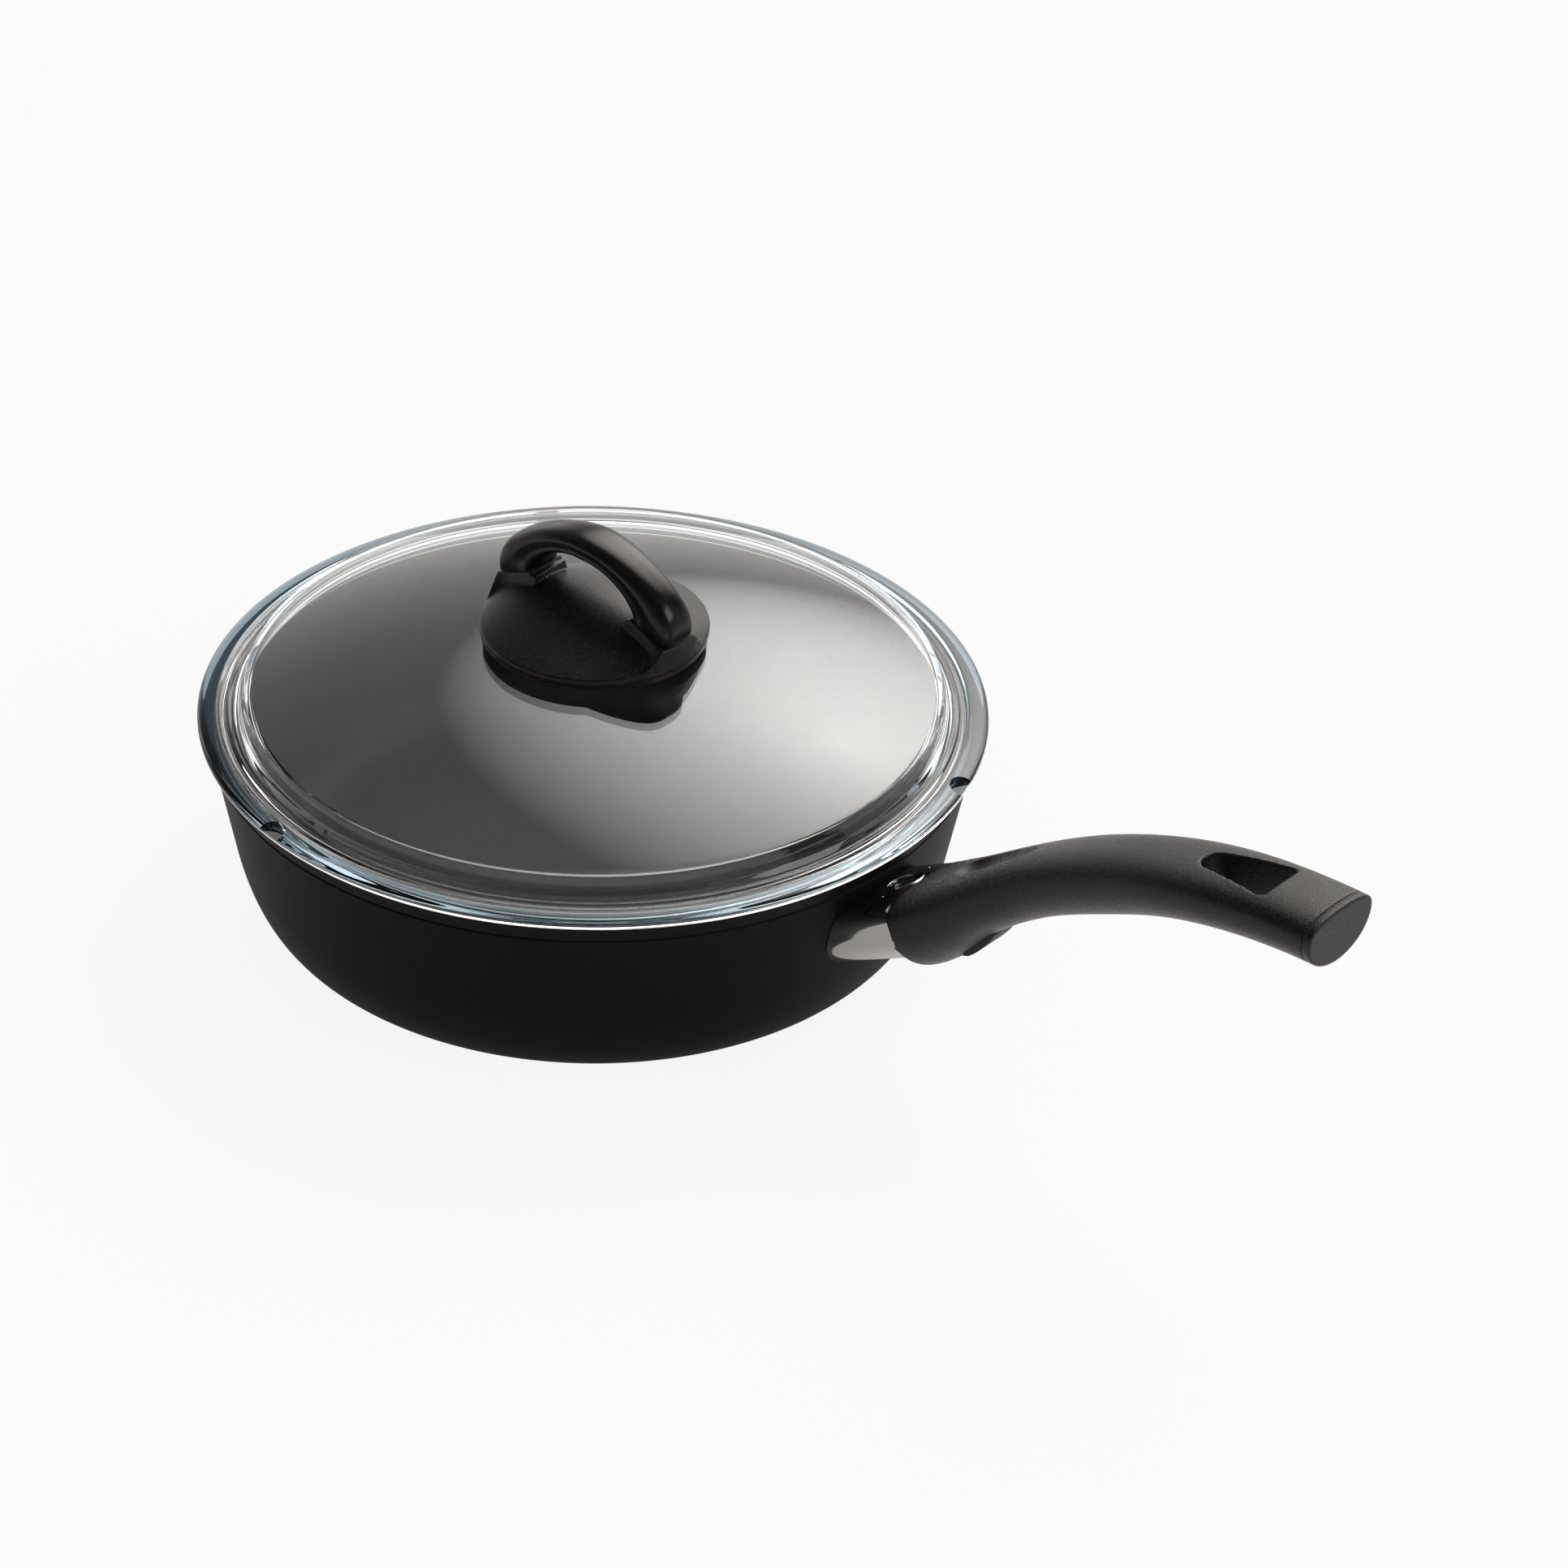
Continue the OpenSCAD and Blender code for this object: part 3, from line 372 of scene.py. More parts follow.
def swept(stations, sides=96):
    """Pulls a ring through stations, each a function from an angle to a point."""
    bm = bmesh.new()
    ring = bmesh.ops.create_circle(bm, segments=sides, radius=1)["verts"]
    angles = {v: math.tau * i / sides for i, v in enumerate(ring)}
    first = list(ring)
    for number, station in enumerate(stations):
        if number:
            loop = [e for e in bm.edges if e.verts[0] in angles and e.verts[1] in angles]
            made = bmesh.ops.extrude_edge_only(bm, edges=loop)["geom"]
            fresh = [g for g in made if isinstance(g, bmesh.types.BMVert)]
            new = {}
            for v in fresh:
                old = next(e.other_vert(v) for e in v.link_edges if e.other_vert(v) in angles)
                new[v] = angles[old]
            angles = new
        for v, a in angles.items():
            v.co = station(a)
    last = sorted(angles, key=angles.get)
    bm.faces.new(first)
    bm.faces.new(last)
    bmesh.ops.recalc_face_normals(bm, faces=bm.faces)
    return bm


def pushed(outline, way, matrix):
    """A flat outline pushed out along way, then placed by matrix."""
    bm = bmesh.new()
    face = bm.faces.new([bm.verts.new(point) for point in outline])
    made = bmesh.ops.extrude_face_region(bm, geom=[face])["geom"]
    bmesh.ops.translate(bm, vec=way, verts=[g for g in made if isinstance(g, bmesh.types.BMVert)])
    bmesh.ops.transform(bm, matrix=matrix, verts=bm.verts)
    bmesh.ops.recalc_face_normals(bm, faces=bm.faces)
    return bm


def made_object(name, bm):
    """Turns a bmesh in millimetres into an object in metres."""
    bmesh.ops.scale(bm, vec=(MM, MM, MM), verts=bm.verts)
    mesh = bpy.data.meshes.new(name)
    bm.to_mesh(mesh)
    bm.free()
    obj = bpy.data.objects.new(name, mesh)
    bpy.context.scene.collection.objects.link(obj)
    return obj


def settled(obj):
    """Applies the object's modifiers to its mesh."""
    bpy.context.view_layer.update()
    graph = bpy.context.evaluated_depsgraph_get()
    mesh = bpy.data.meshes.new_from_object(obj.evaluated_get(graph))
    obj.modifiers.clear()
    old, obj.data = obj.data, mesh
    bpy.data.meshes.remove(old)
    return obj


def cut(obj, cutters, operation="DIFFERENCE"):
    """Takes the cutters out of an object, or joins them to it with UNION."""
    tools = [made_object("tool", c) for c in cutters]
    for tool in tools:
        m = obj.modifiers.new("cut", "BOOLEAN")
        m.operation, m.object, m.solver = operation, tool, "EXACT"
    settled(obj)
    for tool in tools:
        mesh = tool.data
        bpy.data.objects.remove(tool)
        bpy.data.meshes.remove(mesh)
    return obj


def melted(obj, voxel, rounds):
    """Remeshes evenly and relaxes, which rounds every edge as a mould does."""
    m = obj.modifiers.new("even", "REMESH")
    m.mode, m.voxel_size = "VOXEL", voxel * MM
    s = obj.modifiers.new("relax", "SMOOTH")
    s.factor, s.iterations = 0.5, rounds
    return settled(obj)


def dressed(obj, body, materials, replaces=(), sharp=40):
    """Gives a piece its materials, its body, and the nodes that it stands for."""
    obj.data.materials.clear()
    for m in materials if isinstance(materials, (list, tuple)) else [materials]:
        obj.data.materials.append(m)
    obj.data.shade_smooth()
    if sharp:
        obj.data.set_sharp_from_angle(angle=math.radians(sharp))
    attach(obj, body)
    if replaces:
        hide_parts(*replaces)
    return obj


def bezier(p, t):
    return (p[0] * (1 - t) ** 3 + 3 * p[1] * t * (1 - t) ** 2 + 3 * p[2] * t * t * (1 - t)
            + p[3] * t ** 3)


def bezier_way(p, t):
    """Direction of the curve at t."""
    return (3 * (p[1] - p[0]) * (1 - t) ** 2 + 6 * (p[2] - p[1]) * t * (1 - t)
            + 3 * (p[3] - p[2]) * t * t).normalized()


def knotted(t, at, values):
    """Smooth curve through listed values, level at both ends."""
    n = len(at) - 1

    def slope(k):
        return 0 if k in (0, n) else (values[k + 1] - values[k - 1]) / (at[k + 1] - at[k - 1])
    i = max(k for k in range(n) if t >= at[k] or k == 0)
    span = at[i + 1] - at[i]
    s = (t - at[i]) / span
    return ((2 * s ** 3 - 3 * s * s + 1) * values[i] + (s ** 3 - 2 * s * s + s) * slope(i) * span
            + (3 * s * s - 2 * s ** 3) * values[i + 1] + (s ** 3 - s * s) * slope(i + 1) * span)


def bent(x, power):
    """x to a power, with its sign kept."""
    return math.copysign(abs(x) ** power, x)


def oval(a, w, up, dn, above=0.8, below=1.0):
    """Point on the handle's section. The smaller a half's power, the squarer it is."""
    c, s = math.cos(a), math.sin(a)
    power, h = (above, up) if s >= 0 else (below, dn)
    return w * bent(c, power), h * bent(s, power)


def on_collar(u, y, v):
    """Point u along the collar's axis, y across it and v over it."""
    return HANDLE + Vector((u * math.cos(RISE) - v * math.sin(RISE), y,
                            u * math.sin(RISE) + v * math.cos(RISE)))


COLLAR_FRAME = Matrix.Translation(HANDLE) @ Matrix.Rotation(-RISE, 4, "Y")


def sleeve(u0, u1, w, up, dn, sides=96, above=0.8, below=1.0, low=0):
    """Tube along the collar's axis. Its widest line lies low mm under the axis."""
    def station(u):
        def at(a):
            y, h = oval(a, w, up + low, dn - low, above, below)
            return on_collar(u, y, h - low)
        return at
    return swept([station(u0), station(u1)], sides)


def collar_sleeve(u0, u1, inset=0.0):
    """The collar's own section: nearly flat on top, and round below."""
    return sleeve(u0, u1, COLLAR_W - inset, COLLAR_UP - inset, COLLAR_DN - inset, 160,
                  above=0.5, below=0.95, low=3)


def block(size, middle, matrix):
    bm = bmesh.new()
    place = matrix @ Matrix.Translation(middle) @ Matrix.Diagonal((*size, 1))
    bmesh.ops.create_cube(bm, size=1, matrix=place)
    return bm


def rod(radius, low, high, at=(0, 0), matrix=Matrix.Identity(4), segments=64):
    bm = bmesh.new()
    place = matrix @ Matrix.Translation((at[0], at[1], (low + high) / 2))
    bmesh.ops.create_cone(bm, cap_ends=True, segments=segments, radius1=radius, radius2=radius,
                          depth=high - low, matrix=place)
    return bm


def arc(middle, r, start, end, n=6):
    """Points on an arc, with its angles in degrees."""
    angles = [math.radians(start + (end - start) * i / n) for i in range(n + 1)]
    return [(middle[0] + r * math.cos(a), middle[1] + r * math.sin(a)) for a in angles]


# Pan


# The wall's pad that carries the handle: half width, height over the collar's axis, depth under
# it, the u of its two ends, and the height at which its top is cut flat
PAD_W, PAD_UP, PAD_DN, PAD_ENDS, PAD_TOP = 22.5, 7, 16.5, (-33, -22), 0.4


def flank_r(z):
    """Radius of the outer wall at a height."""
    return RIM_R - (PAN_H - z) * LEAN


def pan_outline(grown=0):
    """The outside of the pan from its base to its rim."""
    heel_r = flank_r(HEEL_H)
    flat = heel_r - HEEL_RUN
    heel = [Vector((flat, DISC_PROUD)), Vector((flat + 6, DISC_PROUD + 2.2)),
            Vector((heel_r - 4.5, 9.5)), Vector((heel_r, HEEL_H))]
    line = PAN_H - RIM_BAND
    out = [bezier(heel, i / 24) + Vector((grown, 0)) for i in range(25)]
    out += softened([(flank_r(HEEL_H + 1) + grown, HEEL_H + 1), (flank_r(line) + grown, line),
                     (flank_r(line) - RIM_LINE + grown, line + 0.25),
                     (flank_r(line) - RIM_LINE + grown, line + 0.8),
                     (flank_r(line + 1) + grown, line + 1.1),
                     (flank_r(PAN_H - 3) + grown, PAN_H - 3)], 0.35)
    return out + arc((RIM_R - RIM_ROUND + grown, PAN_H - RIM_ROUND), RIM_ROUND, 0, 90)


def pan_shell():
    top = PAN_D / 2
    turn_z = HEEL_H + 2
    turn_r = top - (PAN_H - turn_z) * LEAN
    inner = [Vector((turn_r - HEEL_RUN * 1.5, FLOOR)), Vector((turn_r - HEEL_RUN * 0.54, FLOOR)),
             Vector((turn_r - 4, FLOOR + 8)), Vector((turn_r, turn_z))]
    wall = [(top - RIM_ROUND * LEAN, PAN_H - RIM_ROUND)] + arc(
        (top + RIM_ROUND, PAN_H - RIM_ROUND), RIM_ROUND, 180, 90)
    outside = [(DISC_R + 0.3, DISC_T), (DISC_R + 0.3, DISC_PROUD + 0.3), (DISC_R + 0.6, DISC_PROUD)]
    outline = ([(0, DISC_T), (40, DISC_T)] + outside + [tuple(p) for p in pan_outline()]
               + wall[::-1] + [tuple(bezier(inner, 1 - i / 24)) for i in range(25)]
               + [(60, FLOOR), (30, FLOOR), (0, FLOOR)])
    bm = turned(outline, 360)
    for face in bm.faces:
        c = face.calc_center_median()
        r = math.hypot(c.x, c.y)
        faces_in = face.normal.dot(Vector((c.x, c.y, 0))) <= 0.01 * r
        if FLOOR - 0.1 <= c.z < PAN_H - 1 and faces_in and r < top + 0.5:
            face.material_index = 1
    pan = made_object("pan_shell", bm)

    def pad_end(u):
        def at(a):
            y, v = oval(a, PAD_W, PAD_UP, PAD_DN)
            return on_collar(u, y, min(v, PAD_TOP))
        return at
    cut(pan, [swept([pad_end(u) for u in PAD_ENDS], 64)], "UNION")
    dressed(pan, "root", [COATING_OUT, COATING_IN], ("pan_body",), 35)


pan_shell()


# Lid

# The ring steps: radius from the pan's inner wall, height over the flange, and rounding
LID_STEPS = [(0.6, 0, 0.5), (-0.4, -0.9, 0.5), (-2.6, -0.9, 0.4), (-3.4, -0.1, 0.4),
             (-5.2, -0.1, 0.6), (-6.2, 0.9, 0.6), (-7.4, 2.2, 0.9)]


DOME_STEPS, DOME_HUB, HOLE_R = 40, 4.5, 4


def ball_z(ball, r):
    """Height of a ball about the dome's middle at a radius."""
    return DOME_Z + math.sqrt(ball * ball - r * r)


def lid():
    wall_z = FLANGE_Z + DOME_EDGE
    in_r = PAN_D / 2
    step_r, low = in_r - 0.8, LID_Z - 2.6
    crowned = [Vector((FLANGE_R, LID_Z + 1.3)), Vector((FLANGE_R, LID_Z + 2.9)),
               Vector((FLANGE_R - 3, FLANGE_Z - 0.35)), Vector((in_r + 1.2, FLANGE_Z))]
    rim = arc((FLANGE_R - 1.3, LID_Z + 1.3), 1.3, -90, 0, 8)
    rim += [tuple(bezier(crowned, i / 14)) for i in range(1, 15)]
    steps = [(in_r + p[0], FLANGE_Z + p[1], p[2]) for p in LID_STEPS]
    shoulder = [(DOME_R + 0.9, wall_z - 1.2, 1.2), (DOME_R + 0.3, wall_z - 0.2, 0.4)]
    inner_ball = DOME_BALL - GLASS_T
    out_radii = [DOME_R * (1 - i / DOME_STEPS) ** 0.8 for i in range(DOME_STEPS + 1)]
    in_radii = [(DOME_R - 3) * (i / DOME_STEPS) ** 0.8 for i in range(DOME_STEPS + 1)]
    dome = [(r, ball_z(DOME_BALL, r), 0) for r in out_radii if r > DOME_HUB]
    inside = [(r, ball_z(inner_ball, r), 0) for r in in_radii if r > DOME_HUB]
    hole = [(HOLE_R, ball_z(DOME_BALL, HOLE_R), 0.3), (HOLE_R, ball_z(inner_ball, HOLE_R), 0.3)]
    under = [(DOME_R - 2.4, wall_z - GLASS_T - 0.6, 1.4), (DOME_R - 0.9, LID_Z + 2, 1.5),
             (DOME_R + 1, low + 0.8, 0.8), (DOME_R + 2, low, 0.5), (step_r - 1.4, low, 0.6),
             (step_r - 0.4, low + 0.8, 0.5), (step_r, LID_Z, 0.3)]
    outline = softened(rim + steps + shoulder + dome + hole + inside + under + [rim[0]], 0)
    lid_obj = made_object("lid_shell", turned(outline, 288))
    vent_at = FLANGE_R - VENT_IN
    turns = [math.radians(VENT_TURN + 120 * i) for i in range(3)]
    cut(lid_obj, [rod(VENT_R, FLANGE_Z - VENT_DEEP, FLANGE_Z + 3,
                      (vent_at * math.cos(turn), vent_at * math.sin(turn))) for turn in turns])
    dressed(lid_obj, "lid", [GLASS, PAINTED_BLUE_EDGE_GLASS], ("lid_glass",), 38)
    # The flange's upward faces get a painted steel-blue tint, which stands in for the colour of
    # light seen looking into the glass's edge
    for face in lid_obj.data.polygons:
        r = math.hypot(face.center.x, face.center.y) / MM
        if in_r + 1 < r < FLANGE_R - 0.25 and face.normal.z > 0.2:
            face.material_index = 1


lid()


# Knob of the lid

# The loaf between the arch's feet, and the pedestals that the feet stand on
LOAF_H, LOAF_FALL, LOAF_TIP = 13.6, 0.0045, 0.3
PEDESTAL_IN, LEDGE_IN, LEDGE_DROP = 24.5, 22.2, 1.3
PEDESTAL_W, FLANK_RUN, SPREAD_Y = 8.6, 2.6, 20
CROWN_R = FOOT_R - 0.08


def seam_top(x):
    """Height of the seam under the arch's foot, over the foot's edge."""
    return SEAM_H - (x - ARCH_X) * math.tan(SEAM_SLOPE)


def crown_height(x, y):
    """Height of the knob's foot over its edge: one low loaf between two pedestals."""
    x, y, r = abs(x), abs(y), math.hypot(x, y)
    reach = math.sqrt(max(CROWN_R ** 2 - x * x, 0.01))
    full = math.hypot(1, LOAF_TIP)
    slope = (full - math.hypot(min(y / reach, 1), LOAF_TIP)) / (full - LOAF_TIP)
    loaf = (LOAF_H - LOAF_FALL * x * x) * slope
    if x < LEDGE_IN - 1:
        return loaf
    top = seam_top(x) if x > PEDESTAL_IN else seam_top(PEDESTAL_IN) - LEDGE_DROP
    if x < LEDGE_IN:
        top = 0
    out = min(max((r - PEDESTAL_IN) / (CROWN_R - PEDESTAL_IN), 0), 1)
    foot_y = PEDESTAL_W + FLANK_RUN + (SPREAD_Y - PEDESTAL_W - FLANK_RUN) * out ** 3
    away = min(max((y - PEDESTAL_W) / (foot_y - PEDESTAL_W), 0), 1)
    pedestal = top * (1 - away) ** 1.7
    near = max(0.5 - abs(loaf - pedestal), 0)
    return max(loaf, pedestal) + near * near / 2


ARCH_SCREW_R, INSERT_R = 3.65, 5.05


def knob():
    hollow = [(0, CROWN_BOSS), (14, CROWN_BOSS), (14, FOOT_Z + 3), (FOOT_R - 3.4, FOOT_Z + 3),
              (FOOT_R - 3.4, FOOT_Z)]
    steps = [(1.2, 0), (0.6, 0.6), (0.6, 1.6), (1.1, 1.9), (0.2, 2.2), (0, 2.9),
             (0, FOOT_EDGE - 0.6), (1.4, FOOT_EDGE - 0.6)]
    wall = [(FOOT_R - back, FOOT_Z + up) for back, up in steps]
    ring = softened(hollow + wall + [(0, FOOT_Z + FOOT_EDGE - 0.6)], 0.3, 3)
    skirt = made_object("knob_skirt", turned(ring, 256))
    holes = [rod(ARCH_SCREW_R, FOOT_Z - 1, FOOT_Z + 7, (side * ARCH_X, 0)) for side in (-1, 1)]
    cut(skirt, holes + [rod(INSERT_R, FOOT_Z, FOOT_Z + 9)])
    dressed(skirt, "lid", KNOB_PLASTIC, (), 40)

    low = EDGE_Z - 3
    outline = [(0, low), (CROWN_R, low)] + [(CROWN_R * (1 - i / 110), EDGE_Z) for i in range(111)]
    bm = turned(outline, 360)
    for v in bm.verts:
        if v.co.z > EDGE_Z - 0.1:
            v.co.z = EDGE_Z + crown_height(v.co.x, v.co.y)
    crown = melted(made_object("knob_crown", bm), voxel=0.48, rounds=4)
    dressed(crown, "lid", CROWN_PLASTIC, ("knob_foot",), 0)


knob()


def arch():
    crest = EDGE_Z + ARCH_H - ARCH_T / 2
    line = [Vector((ARCH_X, 0, SEAM_Z + 0.1)), Vector((ARCH_X + 1.9, 0, SEAM_Z + 8)),
            Vector((ARCH_X * 0.56, 0, crest)), Vector((0, 0, crest))]
    seam = Vector((math.cos(SEAM_SLOPE), 0, -math.sin(SEAM_SLOPE)))
    up = Vector((math.sin(SEAM_SLOPE), 0, math.cos(SEAM_SLOPE)))

    def station(t, side, shrink=0.0, lift=0.0):
        c, d = bezier(line, t), bezier_way(line, t)
        n = seam.lerp(Vector((d.z, 0, -d.x)), min(1, t / 0.08)).normalized()
        s = (1 - t * t * (3 - 2 * t)) ** 1.6
        h = (ARCH_FOOT * s + ARCH_T * (1 - s)) / 2 - shrink
        w = (ARCH_W - 0.9 * math.sin(math.pi * t) - 0.3 * t - 0.9 * (1 - min(1, t / 0.25)) ** 2
             - shrink)
        square = 0.5 + 0.2 * min(1, t / 0.3)

        def at(a):
            across, along = bent(math.sin(a), square), bent(math.cos(a), square)
            # A bead along the lower edges of the strap, over a shallow hollow in its sides
            bead = 0.055 * math.exp(-((along + 0.72) / 0.2) ** 2) - 0.06 * math.exp(
                -((along + 0.2) / 0.3) ** 2)
            y = w * across * (1 + bead * min(1, t * 4))
            q = c + n * h * along + up * lift
            return Vector((side * q.x, y, q.z))
        return at
    # Shrink and lift of the first rings, which leave a thin shadow gap at the seam
    foot = [(0.35, 0), (0.35, 0.2), (0.1, 0.35), (0, 0.65)]
    ts = [i / 64 for i in range(3, 65)]
    rings = [station(0, 1, shrink, lift) for shrink, lift in foot] + [station(t, 1) for t in ts]
    rings += [station(t, -1) for t in reversed(ts[:-1])]
    rings += [station(0, -1, shrink, lift) for shrink, lift in reversed(foot)]
    strap = made_object("knob_strap", swept(rings, 96))
    dressed(strap, "lid", KNOB_PLASTIC, ("knob_arch",), 50)


arch()


# Handle

def grip_ring(t, inset=0.0):
    """The grip's section at t on its curve."""
    c, d = bezier(CURVE, t), bezier_way(CURVE, t)
    w, up, dn = (knotted(t, GRIP_AT, v) - inset for v in (GRIP_W, GRIP_UP, GRIP_DN))

    def at(a):
        y, h = oval(a, w, up, dn)
        return Vector((c.x - d.z * h, y, c.z + d.x * h))
    return at


# How fast the curve runs at its tip, in mm for each unit of its parameter
TIP_PACE = 3 * (CURVE[3] - CURVE[2]).length
CAP_AT = 1 - CAP_T / TIP_PACE


def crest_v(u):
    """Height of the grip's crest over the collar's axis."""
    best = None
    for i in range(200):
        p = grip_ring(i / 200)(math.pi / 2) - HANDLE
        pu = p.x * math.cos(RISE) + p.z * math.sin(RISE)
        pv = -p.x * math.sin(RISE) + p.z * math.cos(RISE)
        if best is None or abs(pu - u) < best[0]:
            best = (abs(pu - u), pv)
    return best[1]


def hang_hole_cutter():
    """The hanging hole: round in front, and straight behind."""
    length, width, back = 33, 21, 24.5
    round_r, corner, half = width * 0.28, width / 7, width / 2
    side = math.degrees(math.atan2(half - corner - (round_r - corner), length - round_r - corner))
    outline = (arc((-length + round_r, 0), round_r, 90 + side, 270 - side, 16)
               + arc((-corner, -half + corner), corner, 270 - side, 360, 8)
               + arc((-corner, half - corner), corner, 0, 90 + side, 8))
    place = (Matrix.Translation((CURVE[3].x - back, 0, CURVE[3].z))
             @ Matrix.Rotation(math.radians(-8), 4, "Y"))
    return pushed([(x, y, -32) for x, y in outline], (0, 0, 64), place)


def thumb_cutter():
    """The thumb hollow: a round-ended trough that runs out towards the tip."""
    radius, at, slope, deep = 12, 30.5, math.radians(13), 3.7
    profile = arc((0, 0), radius, -90, 0, 24) + [(radius, 66), (0, 66)]
    bm = turned([(max(x, 0), z) for x, z in profile], 96)
    place = (COLLAR_FRAME @ Matrix.Translation((at, 0, crest_v(at) - deep + radius))
             @ Matrix.Rotation(math.pi / 2 - slope, 4, "Y"))
    bmesh.ops.transform(bm, matrix=place, verts=bm.verts)
    return bm


# The grip's lip over the collar, as (u, v) points
LIP_WAY = [(0, -8), (1.3, -5), (1.8, -2), (1.9, 2), (2.3, 5), (3.4, 8), (5, 11)]


def lip_cutter():
    """What the grip's front lacks over the collar: its lip runs back towards the top."""
    side = [(-12, -8)] + LIP_WAY + [(5, 20), (-12, 20)]
    return pushed([(u, -30, v) for u, v in side], (0, 60, 0), COLLAR_FRAME)


def tongue(end, grown=0.0):
    """The collar's smaller end, which goes on under the grip's lip."""
    return sleeve(-1, end, COLLAR_W - 2.6 + grown, COLLAR_UP - 0.3 + grown,
                  COLLAR_DN - 1.4 + grown, 160, above=0.6, below=1, low=2)


TONGUE_END, NECK_ROOM = 6, 0.2
# Screw wells as (u, v of the screw's seat), and the rooms of the latch as (size, middle)
WELL_R, WELL_DEEP, WELLS = 3.8, 12, ((4.5, -18.2), (53, -4.4))
LEVER_ROOM = ((47.3, 17.8, 7.8), (32.65, 0, 4.3))
TRIGGER_SLOT = ((21.6, 13, 37), (23.6, 0, -17.5))


def grip():
    stations = [grip_ring(CAP_AT * i / 150) for i in range(151)]
    body = made_object("grip_shell", swept(stations, 120))
    socket = sleeve(-9, NECK_LEN + 0.9, NECK_W + NECK_ROOM, NECK_UP + NECK_ROOM,
                    NECK_DN + NECK_ROOM)
    wells = [rod(WELL_R, v - WELL_DEEP, v, (u, 0), COLLAR_FRAME, 48) for u, v in WELLS]
    cut(body, [thumb_cutter(), hang_hole_cutter(), socket, lip_cutter(),
               tongue(TONGUE_END + 0.1, 0.12), block(*LEVER_ROOM, COLLAR_FRAME),
               block(*TRIGGER_SLOT, COLLAR_FRAME), *wells])
    melted(body, voxel=0.6, rounds=3)
    dressed(body, "root", GRIP_PLASTIC, ("handle_grip",), 0)


grip()


def end_cap():
    # Distance from the tip and inset of each ring: a fine seam, the side, and a rounded edge
    rings = [(CAP_T - 0.05, 0.14), (CAP_T - 0.2, 0.03), (0.9, 0.03), (0.55, 0.12), (0.28, 0.36),
             (0.1, 0.7), (0.02, 1.1), (0, 1.5), (0, 2.6)]
    stations = [grip_ring(1 - d / TIP_PACE, inset) for d, inset in rings]
    bm = swept(stations, 160)
    bm.normal_update()
    tip = (CURVE[3] - CURVE[2]).normalized()
    for face in bm.faces:
        face.material_index = 1 if abs(face.normal.dot(tip)) > 0.93 else 0
    cap = made_object("tip_cap", bm)
    dressed(cap, "root", [GRIP_PLASTIC, CAP_PLASTIC], ("end_cap",), 40)


end_cap()


# COLLAR_OVERLAP is how far the collar reaches past the grip's front at full size.
COLLAR_OVERLAP, FLANK_GAP, PIP_Y, SCREW_HOLE_R = 2, 0.3, 13, 2.25
# Outlines as (radius, height over the axis): the pips, and the window's ring from its inner edge
PIP = [(0, 6.6), (1, 6.6), (1, 8.05), (0.8, 8.28), (0.4, 8.4), (0, 8.44)]
RING = [(0, 7.6), (0, 8.5), (0.2, 8.8), (0.5, 8.85), (WINDOW_LIP, 8.55), (WINDOW_LIP, 7.6)]


def collar():
    tube = made_object("steel_sleeve", collar_sleeve(-COLLAR_LEN, COLLAR_OVERLAP))
    cut(tube, [block((4, 60, 30), (2, 0, -23), COLLAR_FRAME)])
    cut(tube, [tongue(TONGUE_END)], "UNION")
    cut(tube, [sleeve(-1, NECK_LEN, NECK_W, NECK_UP, NECK_DN, 160)], "UNION")
    outside = [tuple(p) for p in [(120, -5)] + pan_outline(FLANK_GAP)]
    flank = turned([(0, -5)] + outside + [(0, PAN_H)], 256)
    neck_bore = sleeve(-2, NECK_LEN + 1, NECK_W - COLLAR_T, NECK_UP - COLLAR_T,
                       NECK_DN - COLLAR_T, 160)
    cut(tube, [collar_sleeve(-COLLAR_LEN - 2, -1, COLLAR_T), neck_bore,
               rod(WINDOW_R, 0, 12, (WINDOW_U, 0), COLLAR_FRAME, 96),
               rod(SCREW_HOLE_R, -20, -8, (WELLS[0][0], 0), COLLAR_FRAME, 48), flank])
    dressed(tube, "root", POLISHED, ("handle_collar",), 30)

    lip = [(WINDOW_R + out, v) for out, v in RING]
    ring = turned(softened(lip, 0.2, 3) + [Vector(lip[0])], 128)
    bmesh.ops.transform(ring, matrix=COLLAR_FRAME @ Matrix.Translation((WINDOW_U, 0, 0)),
                        verts=ring.verts)
    dressed(made_object("window_ring", ring), "root", POLISHED, (), 40)
    for side, label in ((-1, "near"), (1, "far")):
        pip = turned(PIP, 40)
        place = COLLAR_FRAME @ Matrix.Translation((WINDOW_U, side * PIP_Y, 0))
        bmesh.ops.transform(pip, matrix=place, verts=pip.verts)
        dressed(made_object("rivet_" + label, pip), "root", POLISHED, (), 40)


collar()


# Finishes of the nodes that keep their shape

CAD_FINISH = {
    "base_disc": BASE_STEEL, "pan_lug": CAST_ALLOY, "lug_screws": SATIN_STEEL,
    "handle_core": CAST_ALLOY, "handle_screws": SATIN_STEEL, "latch_lever": LATCH_PLASTIC,
    "lock_pin": DARK_METAL, "latch_pivot": SATIN_STEEL, "latch_spring": SATIN_STEEL,
    "knob_seal": RUBBER, "washer_seal": RUBBER, "knob_insert": BRASS, "arch_screws": SATIN_STEEL,
    "knob_screw": SATIN_STEEL, "knob_washer": SATIN_STEEL}
for name, material in CAD_FINISH.items():
    mesh = frame["nodes"][name].data
    mesh.materials.clear()
    mesh.materials.append(material)


# Studio

# How white the floor and the world show: to the camera, and in mirrored light
FLOOR_HALF, FLOOR_WHITE, FLOOR_GLOSS = 12000, 0.9, 0.25


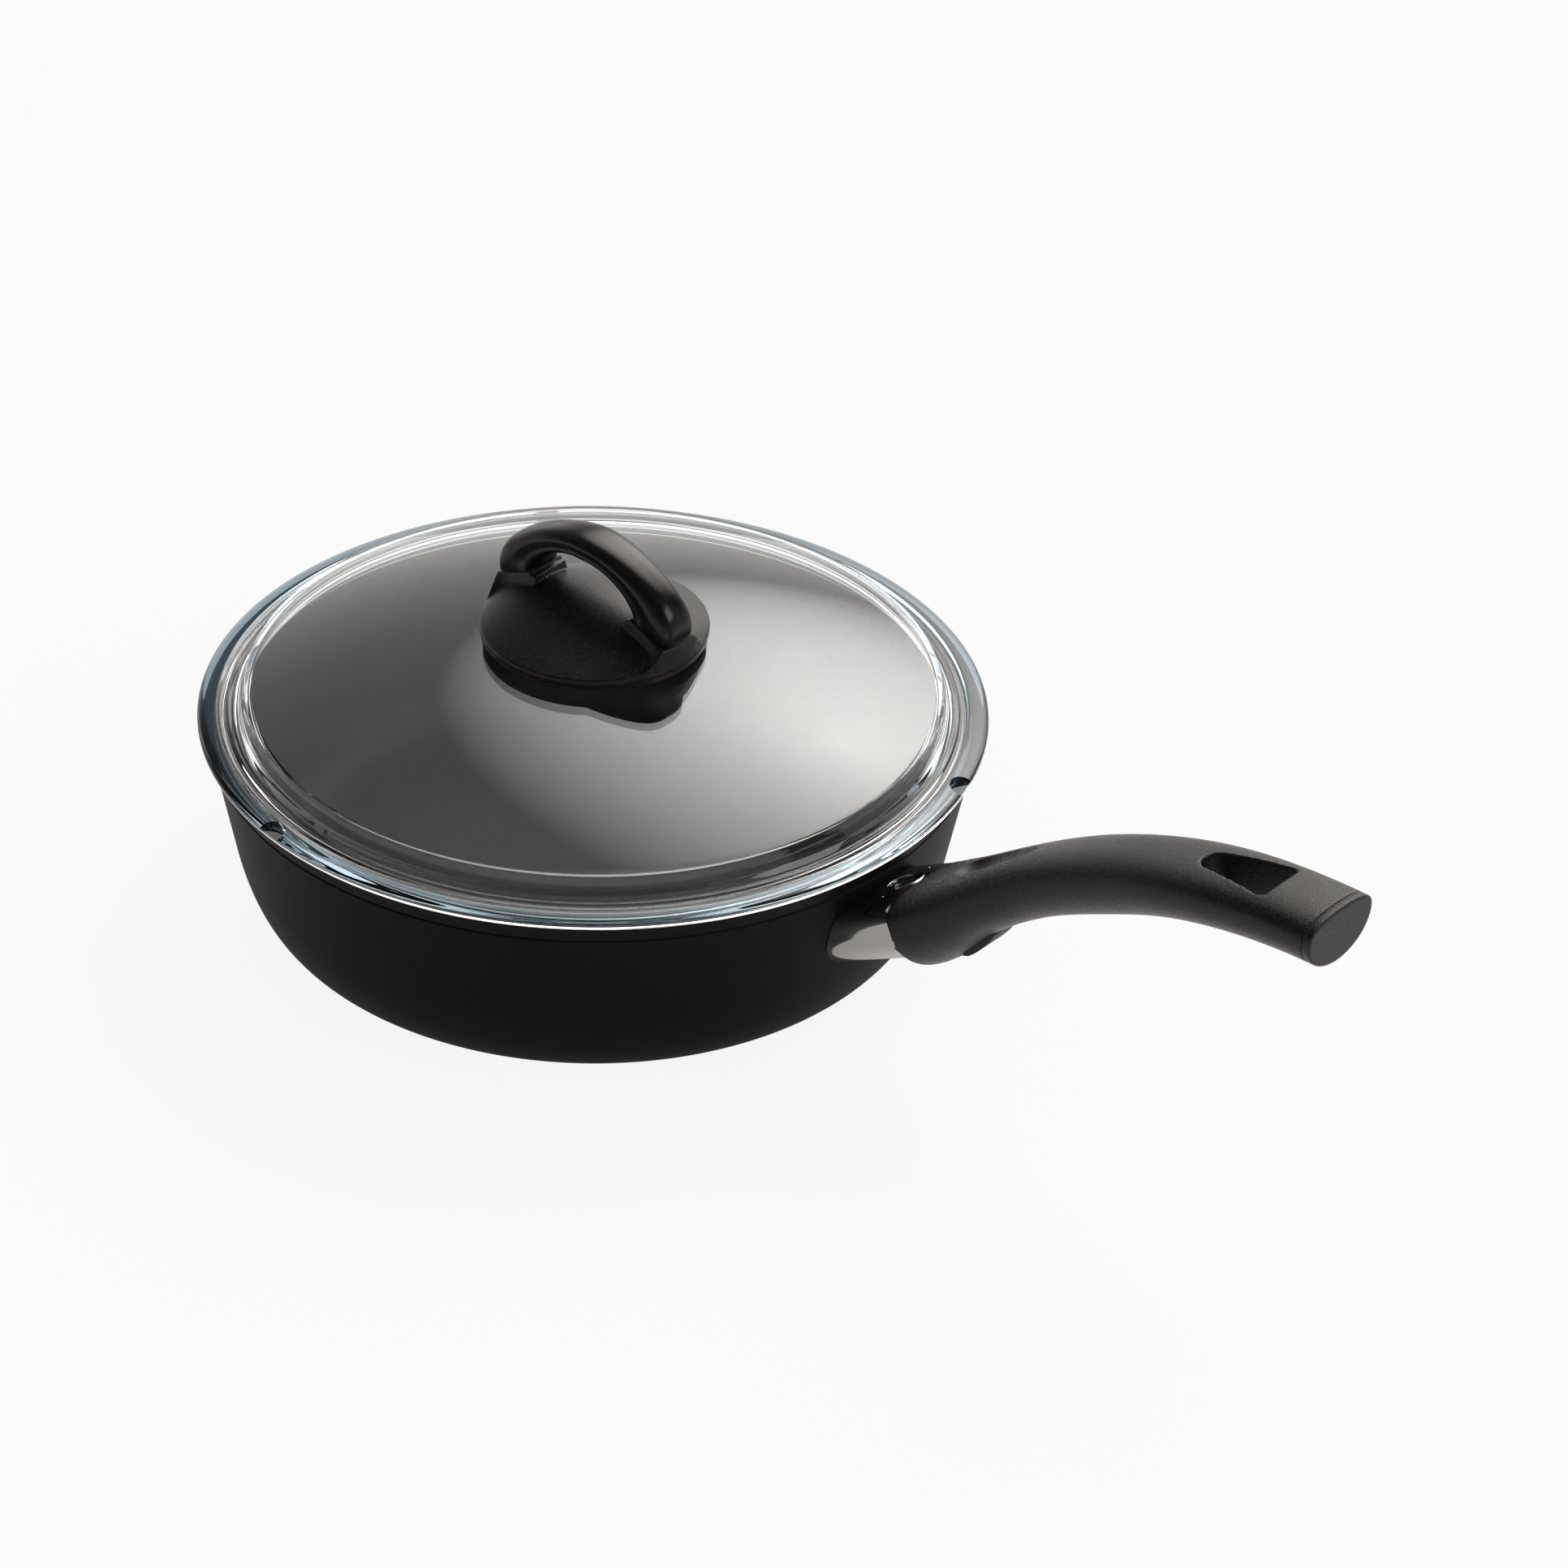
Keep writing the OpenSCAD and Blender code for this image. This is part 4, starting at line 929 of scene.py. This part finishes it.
def seen_ray(f, gloss):
    """1 on rays from the camera, straight or through glass, and gloss on mirrored ones."""
    camera, glossy, through = (f.node("LightPath", out=key) for key in
                               ("Is Camera Ray", "Is Glossy Ray", "Is Transmission Ray"))
    return f.sum("MAXIMUM", f.sum("MAXIMUM", camera, gloss * glossy), through)


def floor():
    bm = bmesh.new()
    bmesh.ops.create_grid(bm, x_segments=1, y_segments=1, size=FLOOR_HALF)
    obj = made_object("floor", bm)
    f = Finish("pale_floor", (0.8, 0.8, 0.8), Specular_IOR_Level=0.1)
    mottle = f.noise(3, 2, 0.5)
    f.set("Base Color", f.mix(mottle, shade(0.62, 0.61, 0.6), shade(0.65, 0.64, 0.63)))
    f.set("Roughness", 0.9)
    white = f.node("Emission", None, {"Color": shade(1, 1, 1), "Strength": 1.0})
    both = f.node("MixShader", None, {0: FLOOR_WHITE * seen_ray(f, FLOOR_GLOSS),
                                      1: Wire(f, f.surface.outputs[0]), 2: white})
    f.tree.links.new(both.socket, f.output.inputs[0])
    obj.data.materials.append(f.holder)


# Direction of the bright back wall, beyond the pan from the camera
BACK_WALL = (-0.57, 0.82, 0)


def world():
    """White to the camera, and a warm bright band low on the back wall for gloss."""
    scene_world = bpy.data.worlds.new("studio")
    bpy.context.scene.world = scene_world
    f = Finish("studio", world=scene_world)
    direction = f.node("TexCoord", out="Generated")
    height = f.node("SeparateXYZ", None, {0: direction}, out=2)
    band = f.ramp(height, [(0.0, (1.3, 1.26, 1.22)), (0.26, (0.5, 0.485, 0.47)),
                           (0.45, (0.13, 0.125, 0.12)), (1.0, (0.05, 0.048, 0.046))])
    facing = f.node("VectorMath", {"operation": "DOT_PRODUCT"}, {0: direction, 1: BACK_WALL},
                    out=1)
    dimmed = f.mix(0.66, band, shade(0, 0, 0))
    band = f.mix(f.ramp(facing, [(0.0, 0.0), (0.75, 1.0)]), dimmed, band)
    glossy = f.mix(f.node("LightPath", out="Is Glossy Ray"), shade(0.435, 0.42, 0.405), band)
    colour = f.mix(seen_ray(f, 0), glossy, shade(1, 1, 1))
    background = f.node("Background", None, {"Color": colour, "Strength": 1.0})
    out = f.tree.nodes.new("ShaderNodeOutputWorld")
    f.tree.links.new(background.socket, out.inputs[0])


LAMP_TONE = (1, 0.985, 0.965)
AIM = Vector((0, 0, 0.08))


def softbox(name, azimuth, height, distance, size, power, spread):
    """A square panel that faces the pan from a direction given in degrees."""
    light = bpy.data.lights.new(name, "AREA")
    light.shape, light.size, light.energy, light.color = "SQUARE", size, power, LAMP_TONE
    light.spread = math.radians(spread)
    obj = bpy.data.objects.new(name, light)
    a, e = math.radians(azimuth), math.radians(height)
    way = Vector((math.cos(a) * math.cos(e), math.sin(a) * math.cos(e), math.sin(e)))
    obj.location = way * distance + AIM
    obj.rotation_euler = (-way).to_track_quat("-Z", "Y").to_euler()
    bpy.context.scene.collection.objects.link(obj)


floor()
world()
softbox("key_panel", 105, 41, distance=1.6, size=2.3, power=12.5, spread=64)
softbox("side_panel", 22, 32, distance=1.7, size=0.7, power=2.2, spread=120)
